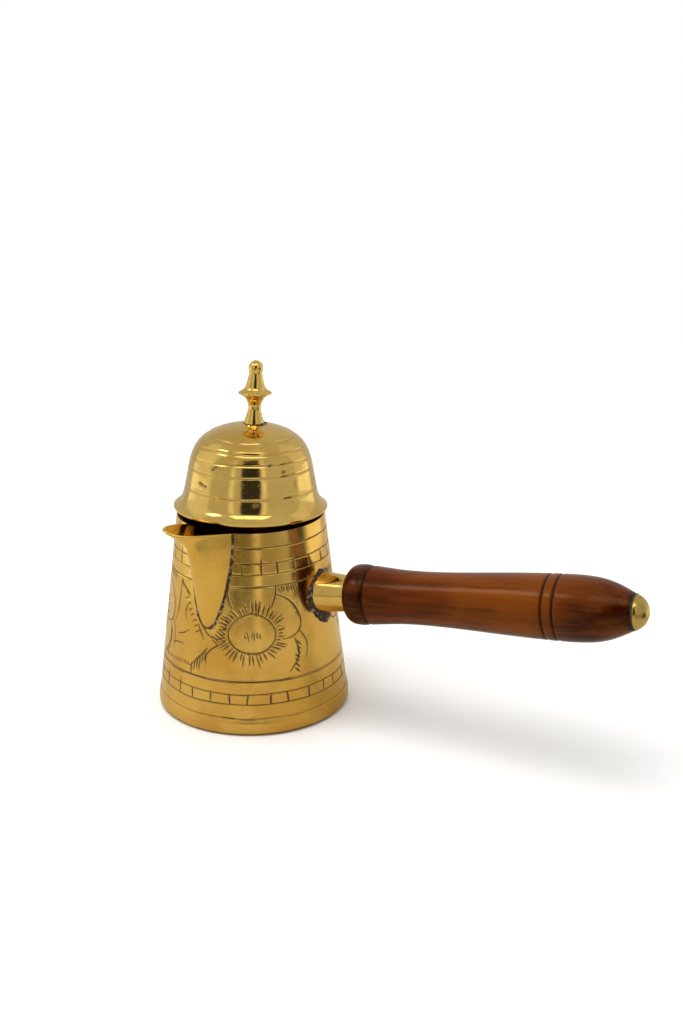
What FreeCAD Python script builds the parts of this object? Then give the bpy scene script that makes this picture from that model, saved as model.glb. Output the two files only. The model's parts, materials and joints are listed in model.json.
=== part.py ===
"""Brass Turkish coffee pot: tapered body, folded spout, hinged bell lid and turned side handle.

Millimetres.  +Z is up, the pot's axis is Z and its flat base is at z = 0.  The handle points
along +X, the spout along -Y, and the lid's hinge is opposite the spout, on +Y.
"""
import os
import FreeCAD, Part
from math import atan, atan2, cos, degrees, pi, sin, sqrt, tan
from FreeCAD import Placement, Rotation, Vector

# ---- pot body: a straight tapered shell with a flared foot -----------------------------------
pot_height = 66.5
mouth_radius = 24.3         # outside, at the rim
skirt_radius = 31.0         # outside, where the straight taper ends
skirt_height = 10.7
foot_flare = 1.2            # how far the foot stands out past the skirt
foot_height = 3.6           # height of the foot's widest ring
foot_round = 1.8            # rounding under the foot
foot_turn_in = 3.2          # width of the flat ring turned in under the pot
body_sheet = 1.0

# ---- base disc, let into the turned-in foot --------------------------------------------------
disc_thickness = 1.0
base_solder_width = 3.0
base_solder_height = 0.8

# ---- spout: a folded beak over a V opening in the wall ---------------------------------------
spout_drop = 33.0           # from the rim to the point of the V
spout_half_width = 8.9      # at the rim
spout_reach = 13.0          # how far the fold stands off the wall, below the lip
spout_keel_round = 3.0      # outside radius of the fold
spout_sheet = 0.9
lip_rise = 2.2              # the lip's tip over the rim
lip_flare = 4.0             # extra reach of the lip
lip_height = 4.0            # length of the flared stretch
spout_land = 1.7            # width of wall left standing inside the seam
spout_bead = 0.8            # thickness of the solder seam

# ---- handle: socket, tie rod, grip and cap nut on one axis -----------------------------------
handle_axis_height = 39.3   # where that axis meets the pot's own axis
socket_foot_radius = 6.85
socket_end_radius = 5.65
socket_length = 8.6         # wall to grip
socket_sheet = 0.8
plug_length = 2.6
solder_ring_width = 3.4
solder_ring_height = 1.8
rod_radius = 2.0
grip_length = 95.2
bead_length = 9.7
bead_radius = 9.75
bead_groove_radius = 8.8
waist_radius = 8.5
swell_radius = 10.15
burnt_groove_depth = 0.45
burnt_groove_width = 1.8
burnt_groove_places = (23.2, 26.8)      # back from the cap end of the grip
cap_radius = 5.3
cap_height = 3.7
cap_spigot_radius = 3.4
cap_spigot_length = 5.0
cap_washer_thickness = 0.6

# ---- lid: bell, collar and finial ------------------------------------------------------------
lid_overhang = 0.9          # the lid's widest ring past the pot's rim
lid_height = 28.1
lid_sheet = 0.8
lid_seat_gap = 0.35         # under the lid's edge when the lid is level
lid_rest_tilt = 2.3         # degrees that the lid rests open, its collar bearing in the mouth
lid_ring_depth = 0.25
lid_ring_heights = (8.1, 14.8, 18.5, 21.9, 24.7)
collar_sheet = 0.7
collar_depth = 3.8          # below the rim
finial_height = 21.0
finial_foot_radius = 3.0
finial_flange_radius = 5.4
finial_neck_radius = 2.0
finial_knob_radius = 2.45
finial_solder_width = 1.9
finial_solder_height = 1.2
stud_radius = 1.5
finial_washer_radius = 4.0
finial_washer_thickness = 0.6
nut_across = 5.5
nut_thickness = 2.0

# ---- hinge opposite the spout ----------------------------------------------------------------
barrel_radius = 1.7
hinge_pin_radius = 0.8
hinge_pin_end = 0.4         # the pin's length past each outer knuckle
knuckle_length = 3.2
leaf_sheet = 0.9
body_leaf_drop = 11.0       # how far the pot's strap runs down the wall
lid_leaf_rise = 7.5         # how far the lid's strap runs up the bell

# ---- clearances ------------------------------------------------------------------------------
pin_clearance = 0.05        # radial, round the hinge pin
thread_clearance = 0.03     # radial, on the plain shapes that stand for threads and soldered fits
wood_clearance = 0.1        # radial, tenon in socket, rod and spigot in grip
tenon_gap = 0.4             # end of tenon to plug
barrel_clearance = 0.4      # lid edge to the hinge barrel
knuckle_gap = 0.2           # between knuckles
mouth_clearance = 1.2       # radial, collar in the mouth

# ---- worked out from the above -----------------------------------------------------------------
taper = (skirt_radius - mouth_radius) / (pot_height - skirt_height)
foot_radius = skirt_radius + foot_flare
seat_radius = foot_radius - foot_round - foot_turn_in       # the hole that the disc is let into
lid_radius = mouth_radius + lid_overhang
lid_base = pot_height + lid_seat_gap
lid_crown = lid_base + lid_height
hinge_radius = lid_radius + barrel_clearance + barrel_radius
hinge_height = lid_base + 0.15 * barrel_radius
handle_slope = atan(taper)                                  # square to the tapered wall
cut_over = 1.0                                              # how far a cutting tool runs past a face
trim_over = 10.0                                            # how far the body's form runs past the rim
notch_belly = 0.62                                          # half width at the V's shoulder, as a share
lid_edge_radius = 0.45                                      # roll of the lid's lower edge

Z_AXIS = Vector(0, 0, 1)
ORIGIN = Vector(0, 0, 0)
HINGE_POINT = Vector(0, hinge_radius, hinge_height)


def wall_radius(z):
    """Outside radius of the tapered wall at height z."""
    return mouth_radius + taper * (pot_height - z)


# ---- drawing -----------------------------------------------------------------------------------
def rz(radius, z):
    """A point of a turned outline, which is drawn in the XZ plane."""
    return Vector(radius, 0, z)


def line(a, b):
    return Part.LineSegment(a, b).toShape()


def lines(points):
    return [line(a, b) for a, b in zip(points, points[1:])]


def spline(points):
    curve = Part.BSplineCurve()
    curve.interpolate(points)
    return curve


def ball_arc(radius, z, top):
    """The arc of a ball about the axis, from a ring of that radius at z up to its top."""
    height = top - z
    ball = (radius ** 2 + height ** 2) / (2 * height)
    half = atan2(radius, ball - height) / 2
    middle = rz(ball * sin(half), top - ball + ball * cos(half))
    return Part.Arc(rz(radius, z), middle, rz(0, top)).toShape()


def turned(edges):
    """The solid that a closed outline of edges sweeps about Z."""
    face = Part.Face(Part.Wire(Part.__sortEdges__(edges)))
    return face.revolve(ORIGIN, Z_AXIS, 360)


def turned_ring(*pairs):
    """The same from the (radius, z) corners of a straight-sided outline."""
    corners = [rz(radius, z) for radius, z in pairs]
    return turned(lines(corners + corners[:1]))


def tube(inner, outer, z0, z1):
    return turned_ring((inner, z0), (outer, z0), (outer, z1), (inner, z1))


def carried(corners, along):
    """A flat outline carried along a vector."""
    return Part.Face(Part.Wire(lines(corners + corners[:1]))).extrude(along)


# ---- pot body ------------------------------------------------------------------------------------
def body_side(inset):
    """Rim to foot: the outside of the pot moved in by inset, as edges and its two end points."""
    rim = rz(mouth_radius - inset, pot_height)
    skirt = rz(skirt_radius - inset, skirt_height)
    flare = rz(foot_radius - inset, foot_height)
    bend = rz((skirt.x + flare.x) / 2 - foot_flare / 8, (skirt.z + flare.z) / 2)
    corner = foot_round - inset
    round_start = rz(foot_radius - inset, foot_round)
    round_middle = rz(foot_radius - foot_round + corner * sqrt(0.5), foot_round - corner * sqrt(0.5))
    round_end = rz(foot_radius - foot_round, inset)
    edges = [line(rim, skirt), Part.Arc(skirt, bend, flare).toShape(), line(flare, round_start),
             Part.Arc(round_start, round_middle, round_end).toShape()]
    return edges, rim, round_end


def make_body_space():
    """The full outside of the pot, run on past the rim, which trims what is soldered to it."""
    top = pot_height + trim_over
    return turned_ring((0, 0), (skirt_radius, 0), (skirt_radius, skirt_height),
                       (wall_radius(top), top), (0, top))


def make_wall_notch():
    """The V opening behind the spout."""
    top = pot_height + cut_over
    shoulder = pot_height - 0.7 * spout_drop
    half_top = spout_half_width - spout_land
    half_shoulder = notch_belly * half_top
    corners = [Vector(-half_top, 0, top), Vector(-half_shoulder, 0, shoulder),
               Vector(0, 0, pot_height - spout_drop + 3 * spout_land),
               Vector(half_shoulder, 0, shoulder), Vector(half_top, 0, top)]
    return carried(corners, Vector(0, -2 * skirt_radius, 0))


def make_pot_body():
    outside, rim, foot = body_side(0)
    inside, rim_inside, foot_inside = body_side(body_sheet)
    turn_in = lines([foot, rz(seat_radius, 0), rz(seat_radius, body_sheet), foot_inside])
    shell = turned(outside + turn_in + inside + [line(rim_inside, rim)])
    return shell.cut(make_wall_notch())


def make_base_solder():
    inner = seat_radius - base_solder_width / 2
    outer = seat_radius + base_solder_width / 2
    edge = body_sheet + 0.3 * base_solder_height
    return turned_ring((inner, body_sheet), (outer, body_sheet), (outer, edge),
                       (seat_radius, body_sheet + base_solder_height), (inner, edge))


# ---- spout -----------------------------------------------------------------------------------------
def spout_section(z, inset):
    """A level section of the beak: two wings and a rounded fold, open into the pot."""
    share = min(max((z + max(-inset, 0) - pot_height + spout_drop) / spout_drop, 0.02), 1.0)
    flare = max(0.0, (z - (pot_height + lip_rise - lip_height)) / lip_height)
    half_width = spout_half_width * share ** 0.4
    reach = spout_reach * share ** 0.6 + lip_flare * flare ** 2
    wall = sqrt(wall_radius(z) ** 2 - half_width ** 2)
    half_angle = atan2(half_width, wall_radius(z) + reach - wall)
    apex = wall_radius(z) + reach - inset / sin(half_angle)
    back = wall - 6 * cut_over - inset
    keel = min(spout_keel_round, 0.5 * half_width / cos(half_angle))
    keel = max(keel - inset, 0.15)
    centre = apex - keel / sin(half_angle)
    touch_x = keel * cos(half_angle)
    touch_y = centre + keel * sin(half_angle)
    back_x = (apex - back) * tan(half_angle)
    right, left = Vector(touch_x, -touch_y, z), Vector(-touch_x, -touch_y, z)
    back_right, back_left = Vector(back_x, -back, z), Vector(-back_x, -back, z)
    fold = Part.Arc(right, Vector(0, -centre - keel, z), left).toShape()
    return Part.Wire([line(back_right, right), fold, line(left, back_left), line(back_left, back_right)])


def spout_form(inset):
    """The beak's outside moved in by inset, as a solid that runs into the pot and past the lip."""
    lip = pot_height + lip_rise
    heights = [pot_height - spout_drop + 0.3 - max(-inset, 0)]
    heights += [pot_height - spout_drop * (1 - share) for share in (0.08, 0.18, 0.34, 0.54, 0.74, 0.9)]
    heights += [lip - lip_height * share for share in (0.6, 0.3, 0.0)] + [lip + cut_over]
    return Part.makeLoft([spout_section(z, inset) for z in heights], True, True)


def above_lip():
    """Everything over the slanting plane that the lip lies in."""
    span = 4 * foot_radius
    block = Part.makeBox(span, span, span, Vector(-span / 2, -0.75 * span, 0))
    block.rotate(ORIGIN, Vector(1, 0, 0), -degrees(atan(lip_rise / (spout_reach + lip_flare))))
    block.translate(Vector(0, -mouth_radius, pot_height))
    return block


def make_spout(body_space):
    return spout_form(0).cut(above_lip()).cut(spout_form(spout_sheet)).cut(body_space)


def make_spout_solder(body_space):
    foot = pot_height - spout_drop - 5 * spout_bead
    skin = turned_ring((0, foot), (wall_radius(foot) + spout_bead, foot),
                       (wall_radius(pot_height) + spout_bead, pot_height), (0, pot_height))
    return spout_form(-spout_bead).common(skin).cut(spout_form(0)).cut(body_space)


# ---- handle ------------------------------------------------------------------------------------------
# Each piece is drawn about Z, its z being the distance from the pot's axis along the handle.
wall_s = wall_radius(handle_axis_height) / (cos(handle_slope) + taper * sin(handle_slope))
grip_start = wall_s + socket_length
bead_end = grip_start + bead_length
grip_end = grip_start + grip_length
cap_base = grip_end + cap_washer_thickness
plug_end = wall_s + plug_length
spigot_foot = grip_end - cap_spigot_length
rod_end = cap_base + 0.4 * cap_height
buried = wall_s - 4 * cut_over                              # inside the pot, before the wall trims it
tenon_radius = socket_end_radius - socket_sheet - wood_clearance
grip_end_radius = cap_radius + 0.3
grip_bore = rod_radius + wood_clearance
spigot_bore = cap_spigot_radius + wood_clearance
tapped_bore = rod_radius + thread_clearance


def along_handle(shape):
    placed = shape.copy()
    square = Rotation(Vector(0, 1, 0), 90 - degrees(handle_slope))
    placed.Placement = Placement(Vector(0, 0, handle_axis_height), square)
    return placed


def socket_radius(s):
    return socket_foot_radius + (socket_end_radius - socket_foot_radius) * (s - wall_s) / socket_length


def socket_form(inset, s0, s1):
    """The socket's tapered outside moved in by inset, between two places on the handle's axis."""
    return along_handle(turned_ring((0, s0), (socket_radius(s0) - inset, s0),
                                    (socket_radius(s1) - inset, s1), (0, s1)))


def rod_form(radius, s0, s1):
    return along_handle(Part.makeCylinder(radius, s1 - s0, Vector(0, 0, s0)))


def make_socket(body_space):
    bore = socket_form(socket_sheet, buried - cut_over, grip_start + cut_over)
    return socket_form(0, buried, grip_start).cut(bore).cut(body_space)


def make_socket_solder(body_space):
    top = wall_s + solder_ring_height
    ring = along_handle(turned_ring((0, buried), (socket_foot_radius + solder_ring_width, buried),
                                    (socket_radius(top) + 0.15, top), (0, top)))
    return ring.cut(socket_form(0, buried, grip_start)).cut(body_space)


def make_socket_plug(body_space):
    plug = socket_form(socket_sheet + thread_clearance, buried, plug_end)
    return plug.cut(rod_form(tapped_bore, buried - cut_over, plug_end + cut_over)).cut(body_space)


def grip_curve():
    """The grip from the groove behind the bead to its cap end."""
    length = grip_end - bead_end
    swell = swell_radius - waist_radius
    shape = [                       # (share of the length, radius)
        (0.005, waist_radius + 0.75), (0.11, waist_radius + 0.2), (0.235, waist_radius),
        (0.42, waist_radius + swell / 3), (0.6, swell_radius - swell / 5), (0.765, swell_radius),
        (0.893, swell_radius - 0.85), (0.934, swell_radius - 1.9), (1.0, grip_end_radius),
    ]
    return spline([rz(radius, bead_end + share * length) for share, radius in shape])


def make_grip():
    curve = grip_curve()
    bead_middle = rz(bead_radius, grip_start + 0.64 * bead_length)
    bead_face = rz(socket_end_radius + 0.2, grip_start)
    groove = rz(bead_groove_radius, bead_end)
    bead_back = Part.Arc(bead_face, rz(bead_radius - 1.1, grip_start + 0.25 * bead_length), bead_middle)
    bead_front = Part.Arc(bead_middle, rz(bead_radius - 0.25, bead_end - 0.165 * bead_length), groove)
    bores = lines([
        curve.EndPoint, rz(spigot_bore, grip_end),
        rz(spigot_bore, spigot_foot - 3 * wood_clearance), rz(grip_bore, spigot_foot - 3 * wood_clearance),
        rz(grip_bore, plug_end + tenon_gap), rz(tenon_radius, plug_end + tenon_gap),
        rz(tenon_radius, grip_start), bead_face,
    ])
    grip = turned([bead_back.toShape(), bead_front.toShape(), line(groove, curve.StartPoint),
                   curve.toShape()] + bores)
    for place in burnt_groove_places:
        s = grip_end - place
        surface = curve.intersect(Part.LineSegment(rz(0, s), rz(2 * swell_radius, s)))[0].X
        mouth = surface + burnt_groove_depth
        grip = grip.cut(turned_ring((surface - burnt_groove_depth, s), (mouth, s - burnt_groove_width / 2),
                                    (mouth, s + burnt_groove_width / 2)))
    return along_handle(grip)


def make_cap():
    top = cap_base + cap_height
    blind = rod_end + 3 * thread_clearance
    inside = lines([
        rz(0, top), rz(0, blind), rz(tapped_bore, blind), rz(tapped_bore, spigot_foot),
        rz(cap_spigot_radius, spigot_foot), rz(cap_spigot_radius, cap_base), rz(cap_radius, cap_base),
    ])
    return along_handle(turned([ball_arc(cap_radius, cap_base, top)] + inside))


# ---- lid: drawn level with its edge at lid_base, then turned to the way it rests -------------------------
def at_rest_on_lid(shape):
    placed = shape.copy()
    placed.rotate(HINGE_POINT, Vector(-1, 0, 0), lid_rest_tilt)
    return placed


def bell_curve():
    """The bell's outside, from its widest ring to the crown."""
    shape = [                       # (share of the radius, share of the height)
        (1.0, 0.032), (0.909, 0.11), (0.869, 0.206), (0.833, 0.363), (0.798, 0.53),
        (0.726, 0.72), (0.627, 0.83), (0.417, 0.933), (0.206, 0.982), (0.0, 1.0),
    ]
    return spline([rz(radius * lid_radius, lid_base + height * lid_height) for radius, height in shape])


def bell_inside_curve(bell):
    """The bell moved in square to itself by the sheet's thickness."""
    moved = []
    steps = 24
    for step in range(steps):
        at = bell.FirstParameter + (bell.LastParameter - bell.FirstParameter) * step / steps
        along = bell.tangent(at)[0]
        moved.append(bell.value(at) + Vector(-along.z, 0, along.x) * lid_sheet)
    return spline(moved + [rz(0, lid_crown - lid_sheet)])


def bell_radius(bell, height):
    level = Part.LineSegment(rz(0, lid_base + height), rz(2 * lid_radius, lid_base + height))
    return bell.intersect(level)[0].X


def lid_form(bell):
    """The lid as if it were solid."""
    edge = rz(lid_radius - lid_edge_radius, lid_base)
    middle = rz(lid_radius - lid_edge_radius / 9, lid_base + lid_edge_radius * 8 / 9)
    roll = Part.Arc(edge, middle, bell.StartPoint)
    return turned([line(rz(0, lid_base), edge), roll.toShape(), bell.toShape(),
                   line(bell.EndPoint, rz(0, lid_base))])


def lid_hollow(bell):
    inside = bell_inside_curve(bell)
    mouth = lid_base - cut_over
    return turned([line(rz(0, mouth), rz(inside.StartPoint.x, mouth)),
                   line(rz(inside.StartPoint.x, mouth), inside.StartPoint),
                   inside.toShape(), line(inside.EndPoint, rz(0, mouth))])


def stud_hole():
    return Part.makeCylinder(stud_radius + thread_clearance, 2 * lid_height, rz(0, lid_base))


def make_lid_dome(bell):
    shell = lid_form(bell).cut(lid_hollow(bell)).cut(stud_hole())
    for height in lid_ring_heights:
        shell = shell.cut(Part.makeTorus(bell_radius(bell, height), lid_ring_depth, rz(0, lid_base + height)))
    return at_rest_on_lid(shell)


def make_collar(bell):
    radius = mouth_radius - body_sheet - mouth_clearance
    ring = tube(radius - collar_sheet, radius, pot_height - collar_depth, lid_base + 0.2 * lid_height)
    return at_rest_on_lid(ring.common(lid_hollow(bell)))


washer_top = lid_crown - lid_sheet - 0.35                   # the crown's inside curves down this much
nut_top = washer_top - finial_washer_thickness


def finial_form():
    stem_shape = [(0.0, finial_foot_radius), (0.205, finial_foot_radius - 0.45),
                  (0.27, finial_foot_radius - 0.5), (0.36, finial_foot_radius + 0.2),
                  (0.455, finial_flange_radius - 0.15)]
    neck_shape = [(0.485, finial_flange_radius), (0.58, finial_flange_radius - 2.0),
                  (0.645, finial_neck_radius + 0.65), (0.77, finial_neck_radius)]
    stem, neck = [spline([rz(radius, lid_crown + share * finial_height) for share, radius in shape])
                  for shape in (stem_shape, neck_shape)]
    top = lid_crown + finial_height
    waist = 0.8 * finial_knob_radius
    knob_foot = top - finial_knob_radius - sqrt(finial_knob_radius ** 2 - waist ** 2)
    stud_foot = nut_top - nut_thickness - 0.5
    return turned([
        stem.toShape(), line(stem.EndPoint, neck.StartPoint), neck.toShape(),
        line(neck.EndPoint, rz(waist, knob_foot)), ball_arc(waist, knob_foot, top),
    ] + lines([
        rz(0, top), rz(0, stud_foot), rz(stud_radius, stud_foot), rz(stud_radius, lid_crown),
        rz(finial_foot_radius, lid_crown),
    ]))


def make_finial_solder(bell):
    foot = lid_crown - 1.0
    outer = finial_foot_radius + finial_solder_width
    bead = turned_ring((stud_radius, foot), (outer, foot), (outer, lid_crown),
                       (finial_foot_radius, lid_crown + finial_solder_height),
                       (stud_radius, lid_crown + finial_solder_height))
    return at_rest_on_lid(bead.cut(finial_form()).cut(lid_form(bell)).cut(stud_hole()))


def make_finial_washer(bell):
    washer = tube(stud_radius + thread_clearance, finial_washer_radius,
                  washer_top - finial_washer_thickness, washer_top)
    return at_rest_on_lid(washer.cut(lid_form(bell).cut(lid_hollow(bell))))


def make_finial_nut():
    corner = nut_across / 2 / cos(pi / 6)
    corners = [Vector(corner * cos(k * pi / 3), corner * sin(k * pi / 3), nut_top) for k in range(6)]
    return at_rest_on_lid(carried(corners, Vector(0, 0, -nut_thickness)).cut(stud_hole()))


# ---- hinge: drawn with the lid level ------------------------------------------------------------------------
half_middle = knuckle_length / 2
outer_start = half_middle + knuckle_gap
outer_end = outer_start + knuckle_length


def across_hinge(profile, half_width):
    """A profile of (distance from the pot's axis, height) pairs, carried across the hinge."""
    corners = [Vector(-half_width, y, z) for y, z in profile]
    return carried(corners, Vector(2 * half_width, 0, 0))


def barrel(radius, x0, x1):
    return Part.makeCylinder(radius, x1 - x0, Vector(x0, hinge_radius, hinge_height), Vector(1, 0, 0))


def pin_bore():
    return barrel(hinge_pin_radius + pin_clearance, -2 * outer_end, 2 * outer_end)


def make_body_leaf(body_space):
    foot, neck, top = pot_height - body_leaf_drop, pot_height - 4, pot_height - 1.6
    strap = across_hinge([
        (wall_radius(foot) - 3, foot), (wall_radius(foot) + leaf_sheet, foot),
        (wall_radius(neck) + leaf_sheet, neck),
        (hinge_radius + 0.7 * barrel_radius, hinge_height - 0.7 * barrel_radius),
        (hinge_radius, hinge_height),
        (hinge_radius - 0.9 * barrel_radius, hinge_height - 0.3 * barrel_radius),
        (mouth_radius - 0.4, top), (mouth_radius - 3, top),
    ], outer_end)
    room = barrel(barrel_radius + 0.6 * barrel_clearance, -outer_start, outer_start)
    knuckles = barrel(barrel_radius, -outer_end, -outer_start).fuse(
        barrel(barrel_radius, outer_start, outer_end))
    return strap.cut(body_space).cut(room).fuse(knuckles).cut(pin_bore()).removeSplitter()


def make_lid_leaf(bell):
    low, high = 0.12 * lid_height, lid_leaf_rise
    edge = lid_base + 0.032 * lid_height
    strap_low = (bell_radius(bell, low) + 1.2 * leaf_sheet, lid_base + low + 0.5)
    strap_high = (bell_radius(bell, high) + leaf_sheet, lid_base + high)
    strap_inside = (bell_radius(bell, high) - 2, lid_base + high)
    strap = across_hinge([(lid_radius - 1.6, lid_base + low), strap_low, strap_high, strap_inside,
                          (lid_radius - 5, lid_base + low - 1)], outer_end)
    arm = across_hinge([
        (hinge_radius, hinge_height),
        (hinge_radius + 0.5 * barrel_radius, hinge_height + 0.8 * barrel_radius),
        (hinge_radius - 0.6 * barrel_radius, hinge_height + 1.1 * barrel_radius),
        strap_low, strap_high, strap_inside, (lid_radius - 4, edge), (lid_radius, edge),
        (hinge_radius - 0.9 * barrel_radius, hinge_height),
    ], half_middle)
    leaf = arm.fuse(barrel(barrel_radius, -half_middle, half_middle)).fuse(strap)
    return at_rest_on_lid(leaf.cut(lid_form(bell)).cut(pin_bore()).removeSplitter())


# ---- the pot, node by node -------------------------------------------------------------------------------------
def make_nodes():
    space = make_body_space()
    bell = bell_curve()
    return {
        "pot_body": make_pot_body(),
        "base_disc": Part.makeCylinder(seat_radius - thread_clearance, disc_thickness),
        "base_solder": make_base_solder(),
        "spout": make_spout(space),
        "spout_solder": make_spout_solder(space),
        "handle_socket": make_socket(space),
        "socket_solder": make_socket_solder(space),
        "socket_plug": make_socket_plug(space),
        "handle_rod": rod_form(rod_radius, wall_s + 0.25 * plug_length, rod_end),
        "handle_grip": make_grip(),
        "cap_washer": along_handle(tube(spigot_bore, cap_radius + 0.2, grip_end, cap_base)),
        "handle_cap": make_cap(),
        "lid_dome": make_lid_dome(bell),
        "lid_collar": make_collar(bell),
        "lid_finial": at_rest_on_lid(finial_form()),
        "finial_solder": make_finial_solder(bell),
        "finial_washer": make_finial_washer(bell),
        "finial_nut": make_finial_nut(),
        "hinge_body_leaf": make_body_leaf(space),
        "hinge_lid_leaf": make_lid_leaf(bell),
        "hinge_pin": barrel(hinge_pin_radius, -outer_end - hinge_pin_end, outer_end + hinge_pin_end),
    }


os.makedirs("parts", exist_ok=True)
for node, shape in make_nodes().items():
    solids = shape.Solids
    whole = solids[0] if len(solids) == 1 else Part.makeCompound(solids)
    whole.exportStep("parts/%s.step" % node)
    print("%-16s solids %d  valid %s  %.1f mm3" % (node, len(solids), whole.isValid(), whole.Volume))
print("lid hinge at", [round(value / 1000, 6) for value in HINGE_POINT])
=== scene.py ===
import json
from math import asin, atan, atan2, cos, degrees, exp, pi, radians, sin, sqrt

import bmesh
import bpy
import numpy as np
from mathutils import Matrix, Vector, noise
from mathutils.kdtree import KDTree


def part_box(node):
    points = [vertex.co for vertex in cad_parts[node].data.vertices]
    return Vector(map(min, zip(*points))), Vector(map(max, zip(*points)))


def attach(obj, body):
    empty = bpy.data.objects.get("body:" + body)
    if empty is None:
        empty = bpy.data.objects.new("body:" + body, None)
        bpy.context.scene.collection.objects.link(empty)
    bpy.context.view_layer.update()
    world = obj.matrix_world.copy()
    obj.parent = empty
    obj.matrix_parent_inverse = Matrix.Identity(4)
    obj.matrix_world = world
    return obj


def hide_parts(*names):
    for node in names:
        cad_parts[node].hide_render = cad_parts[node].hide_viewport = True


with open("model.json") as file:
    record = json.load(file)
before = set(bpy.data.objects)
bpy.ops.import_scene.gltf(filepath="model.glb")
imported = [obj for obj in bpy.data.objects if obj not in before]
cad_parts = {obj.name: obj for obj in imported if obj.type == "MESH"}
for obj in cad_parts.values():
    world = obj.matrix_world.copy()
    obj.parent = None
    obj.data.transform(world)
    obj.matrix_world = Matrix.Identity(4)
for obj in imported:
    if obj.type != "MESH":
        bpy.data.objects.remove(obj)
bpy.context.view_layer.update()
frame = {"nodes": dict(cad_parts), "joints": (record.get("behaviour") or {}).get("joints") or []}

MM = 0.001

# ---- the pot's sizes, in millimetres -------------------------------------------------------------
POT_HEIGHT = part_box("pot_body")[1].z / MM
MOUTH_RADIUS = 24.3
SKIRT_RADIUS = 31.0
SKIRT_HEIGHT = 10.7
FOOT_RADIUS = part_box("pot_body")[1].y / MM
FOOT_HEIGHT = 3.6
FOOT_ROUND = 1.8
SEAT_RADIUS = 27.2
BODY_SHEET = 1.0
TAPER = (SKIRT_RADIUS - MOUTH_RADIUS) / (POT_HEIGHT - SKIRT_HEIGHT)
SLOPE = atan(TAPER)

SPOUT_DROP = 31.9
SPOUT_HALF_WIDTH = 8.9
SPOUT_REACH = 10.6
SPOUT_SHEET = 0.9
SPOUT_LAND = 1.7
SPOUT_ANGLE = -90.0
SPOUT_LEAN = -4.0           # degrees that the beak, set by hand, leans round the pot at the rim
SPOUT_BELLY = 0.55          # how far the sheet rounds out between the fold and a seam
FOLD_ROUND = 3.2
LIP_RISE = 2.2
LIP_FLARE = 3.8
LIP_HEIGHT = 6.0
LIP_SPREAD_NEAR, LIP_SPREAD_FAR, LIP_OUT = 1.3, -1.9, 0.7
LIP_SWAY = -4.1             # how far the fold leans along the rim at the lip

HANDLE_AXIS_HEIGHT = 39.3
SOCKET_FOOT_RADIUS = 6.85
SOCKET_END_RADIUS = 5.65
SOCKET_LENGTH = 10.6
SOCKET_SHEET = 0.8
GRIP_LENGTH = 93.2
BEAD_LENGTH = 7.7
BEAD_RADIUS = 9.75
GROOVE_RADIUS = 8.8
WAIST_RADIUS = 8.5
SWELL_RADIUS = 10.15
CAP_RADIUS = 5.3
CAP_HEIGHT = 3.7
WASHER_THICKNESS = 0.6
ROD_BORE = 2.3
BURNT_PLACES = (25.7, 22.2)     # back from the cap end of the grip
BURNT_DEPTH = 0.45

LID_RADIUS = MOUTH_RADIUS + 0.9
LID_HEIGHT = 28.1
LID_SHEET = 0.8
LID_BASE = POT_HEIGHT + 0.35
LID_CROWN = LID_BASE + LID_HEIGHT
LID_RINGS = (7.6, 14.3, 18.0, 21.4, 24.2)     # heights over the lid's edge
LID_TILT = 2.3
STUD_RADIUS = 1.5
FINIAL_HEIGHT = 21.0
FINIAL_FOOT = 3.0
FINIAL_FLANGE = 5.4
FINIAL_KNOB = 2.35
FINIAL_TOP = LID_CROWN + FINIAL_HEIGHT - 0.7
HINGE = Vector(frame["joints"][0]["pos_m"]) / MM
FINIAL_SHIFT = Vector((0.80, 0.48, 0.0))      # it was soldered on a little to one side

FRONT_FLOWER = -59.5            # degrees round the pot from the handle
POT_BODY, LID_BODY = "pot", "lid"


def wall_radius(z):
    return MOUTH_RADIUS + TAPER * (POT_HEIGHT - z)


def square_to_wall(point):
    """The way straight out of the tapered wall beside a point."""
    return Vector((point.x, point.y, 0)).normalized() * cos(SLOPE) + Vector((0, 0, sin(SLOPE)))


def on_wall(angle, z, out=0.0):
    """A point of the wall, by degrees round the pot and height, moved out square to it."""
    turn = radians(angle)
    radius = wall_radius(z) + out * cos(SLOPE)
    return Vector((radius * cos(turn), radius * sin(turn), z + out * sin(SLOPE)))


HANDLE_S0 = wall_radius(HANDLE_AXIS_HEIGHT) / (cos(SLOPE) + TAPER * sin(SLOPE))
GRIP_START = HANDLE_S0 + SOCKET_LENGTH
GRIP_END = GRIP_START + GRIP_LENGTH
CAP_BASE = GRIP_END + WASHER_THICKNESS

# a turned piece is drawn about Z and set in place by one of these
UPRIGHT = Matrix.Identity(4)
ALONG_HANDLE = Matrix.Translation((0, 0, HANDLE_AXIS_HEIGHT)) @ Matrix.Rotation(pi / 2 - SLOPE, 4, "Y")
LID_AT_REST = (Matrix.Translation(HINGE) @ Matrix.Rotation(radians(-LID_TILT), 4, "X")
               @ Matrix.Translation(-HINGE))


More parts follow.
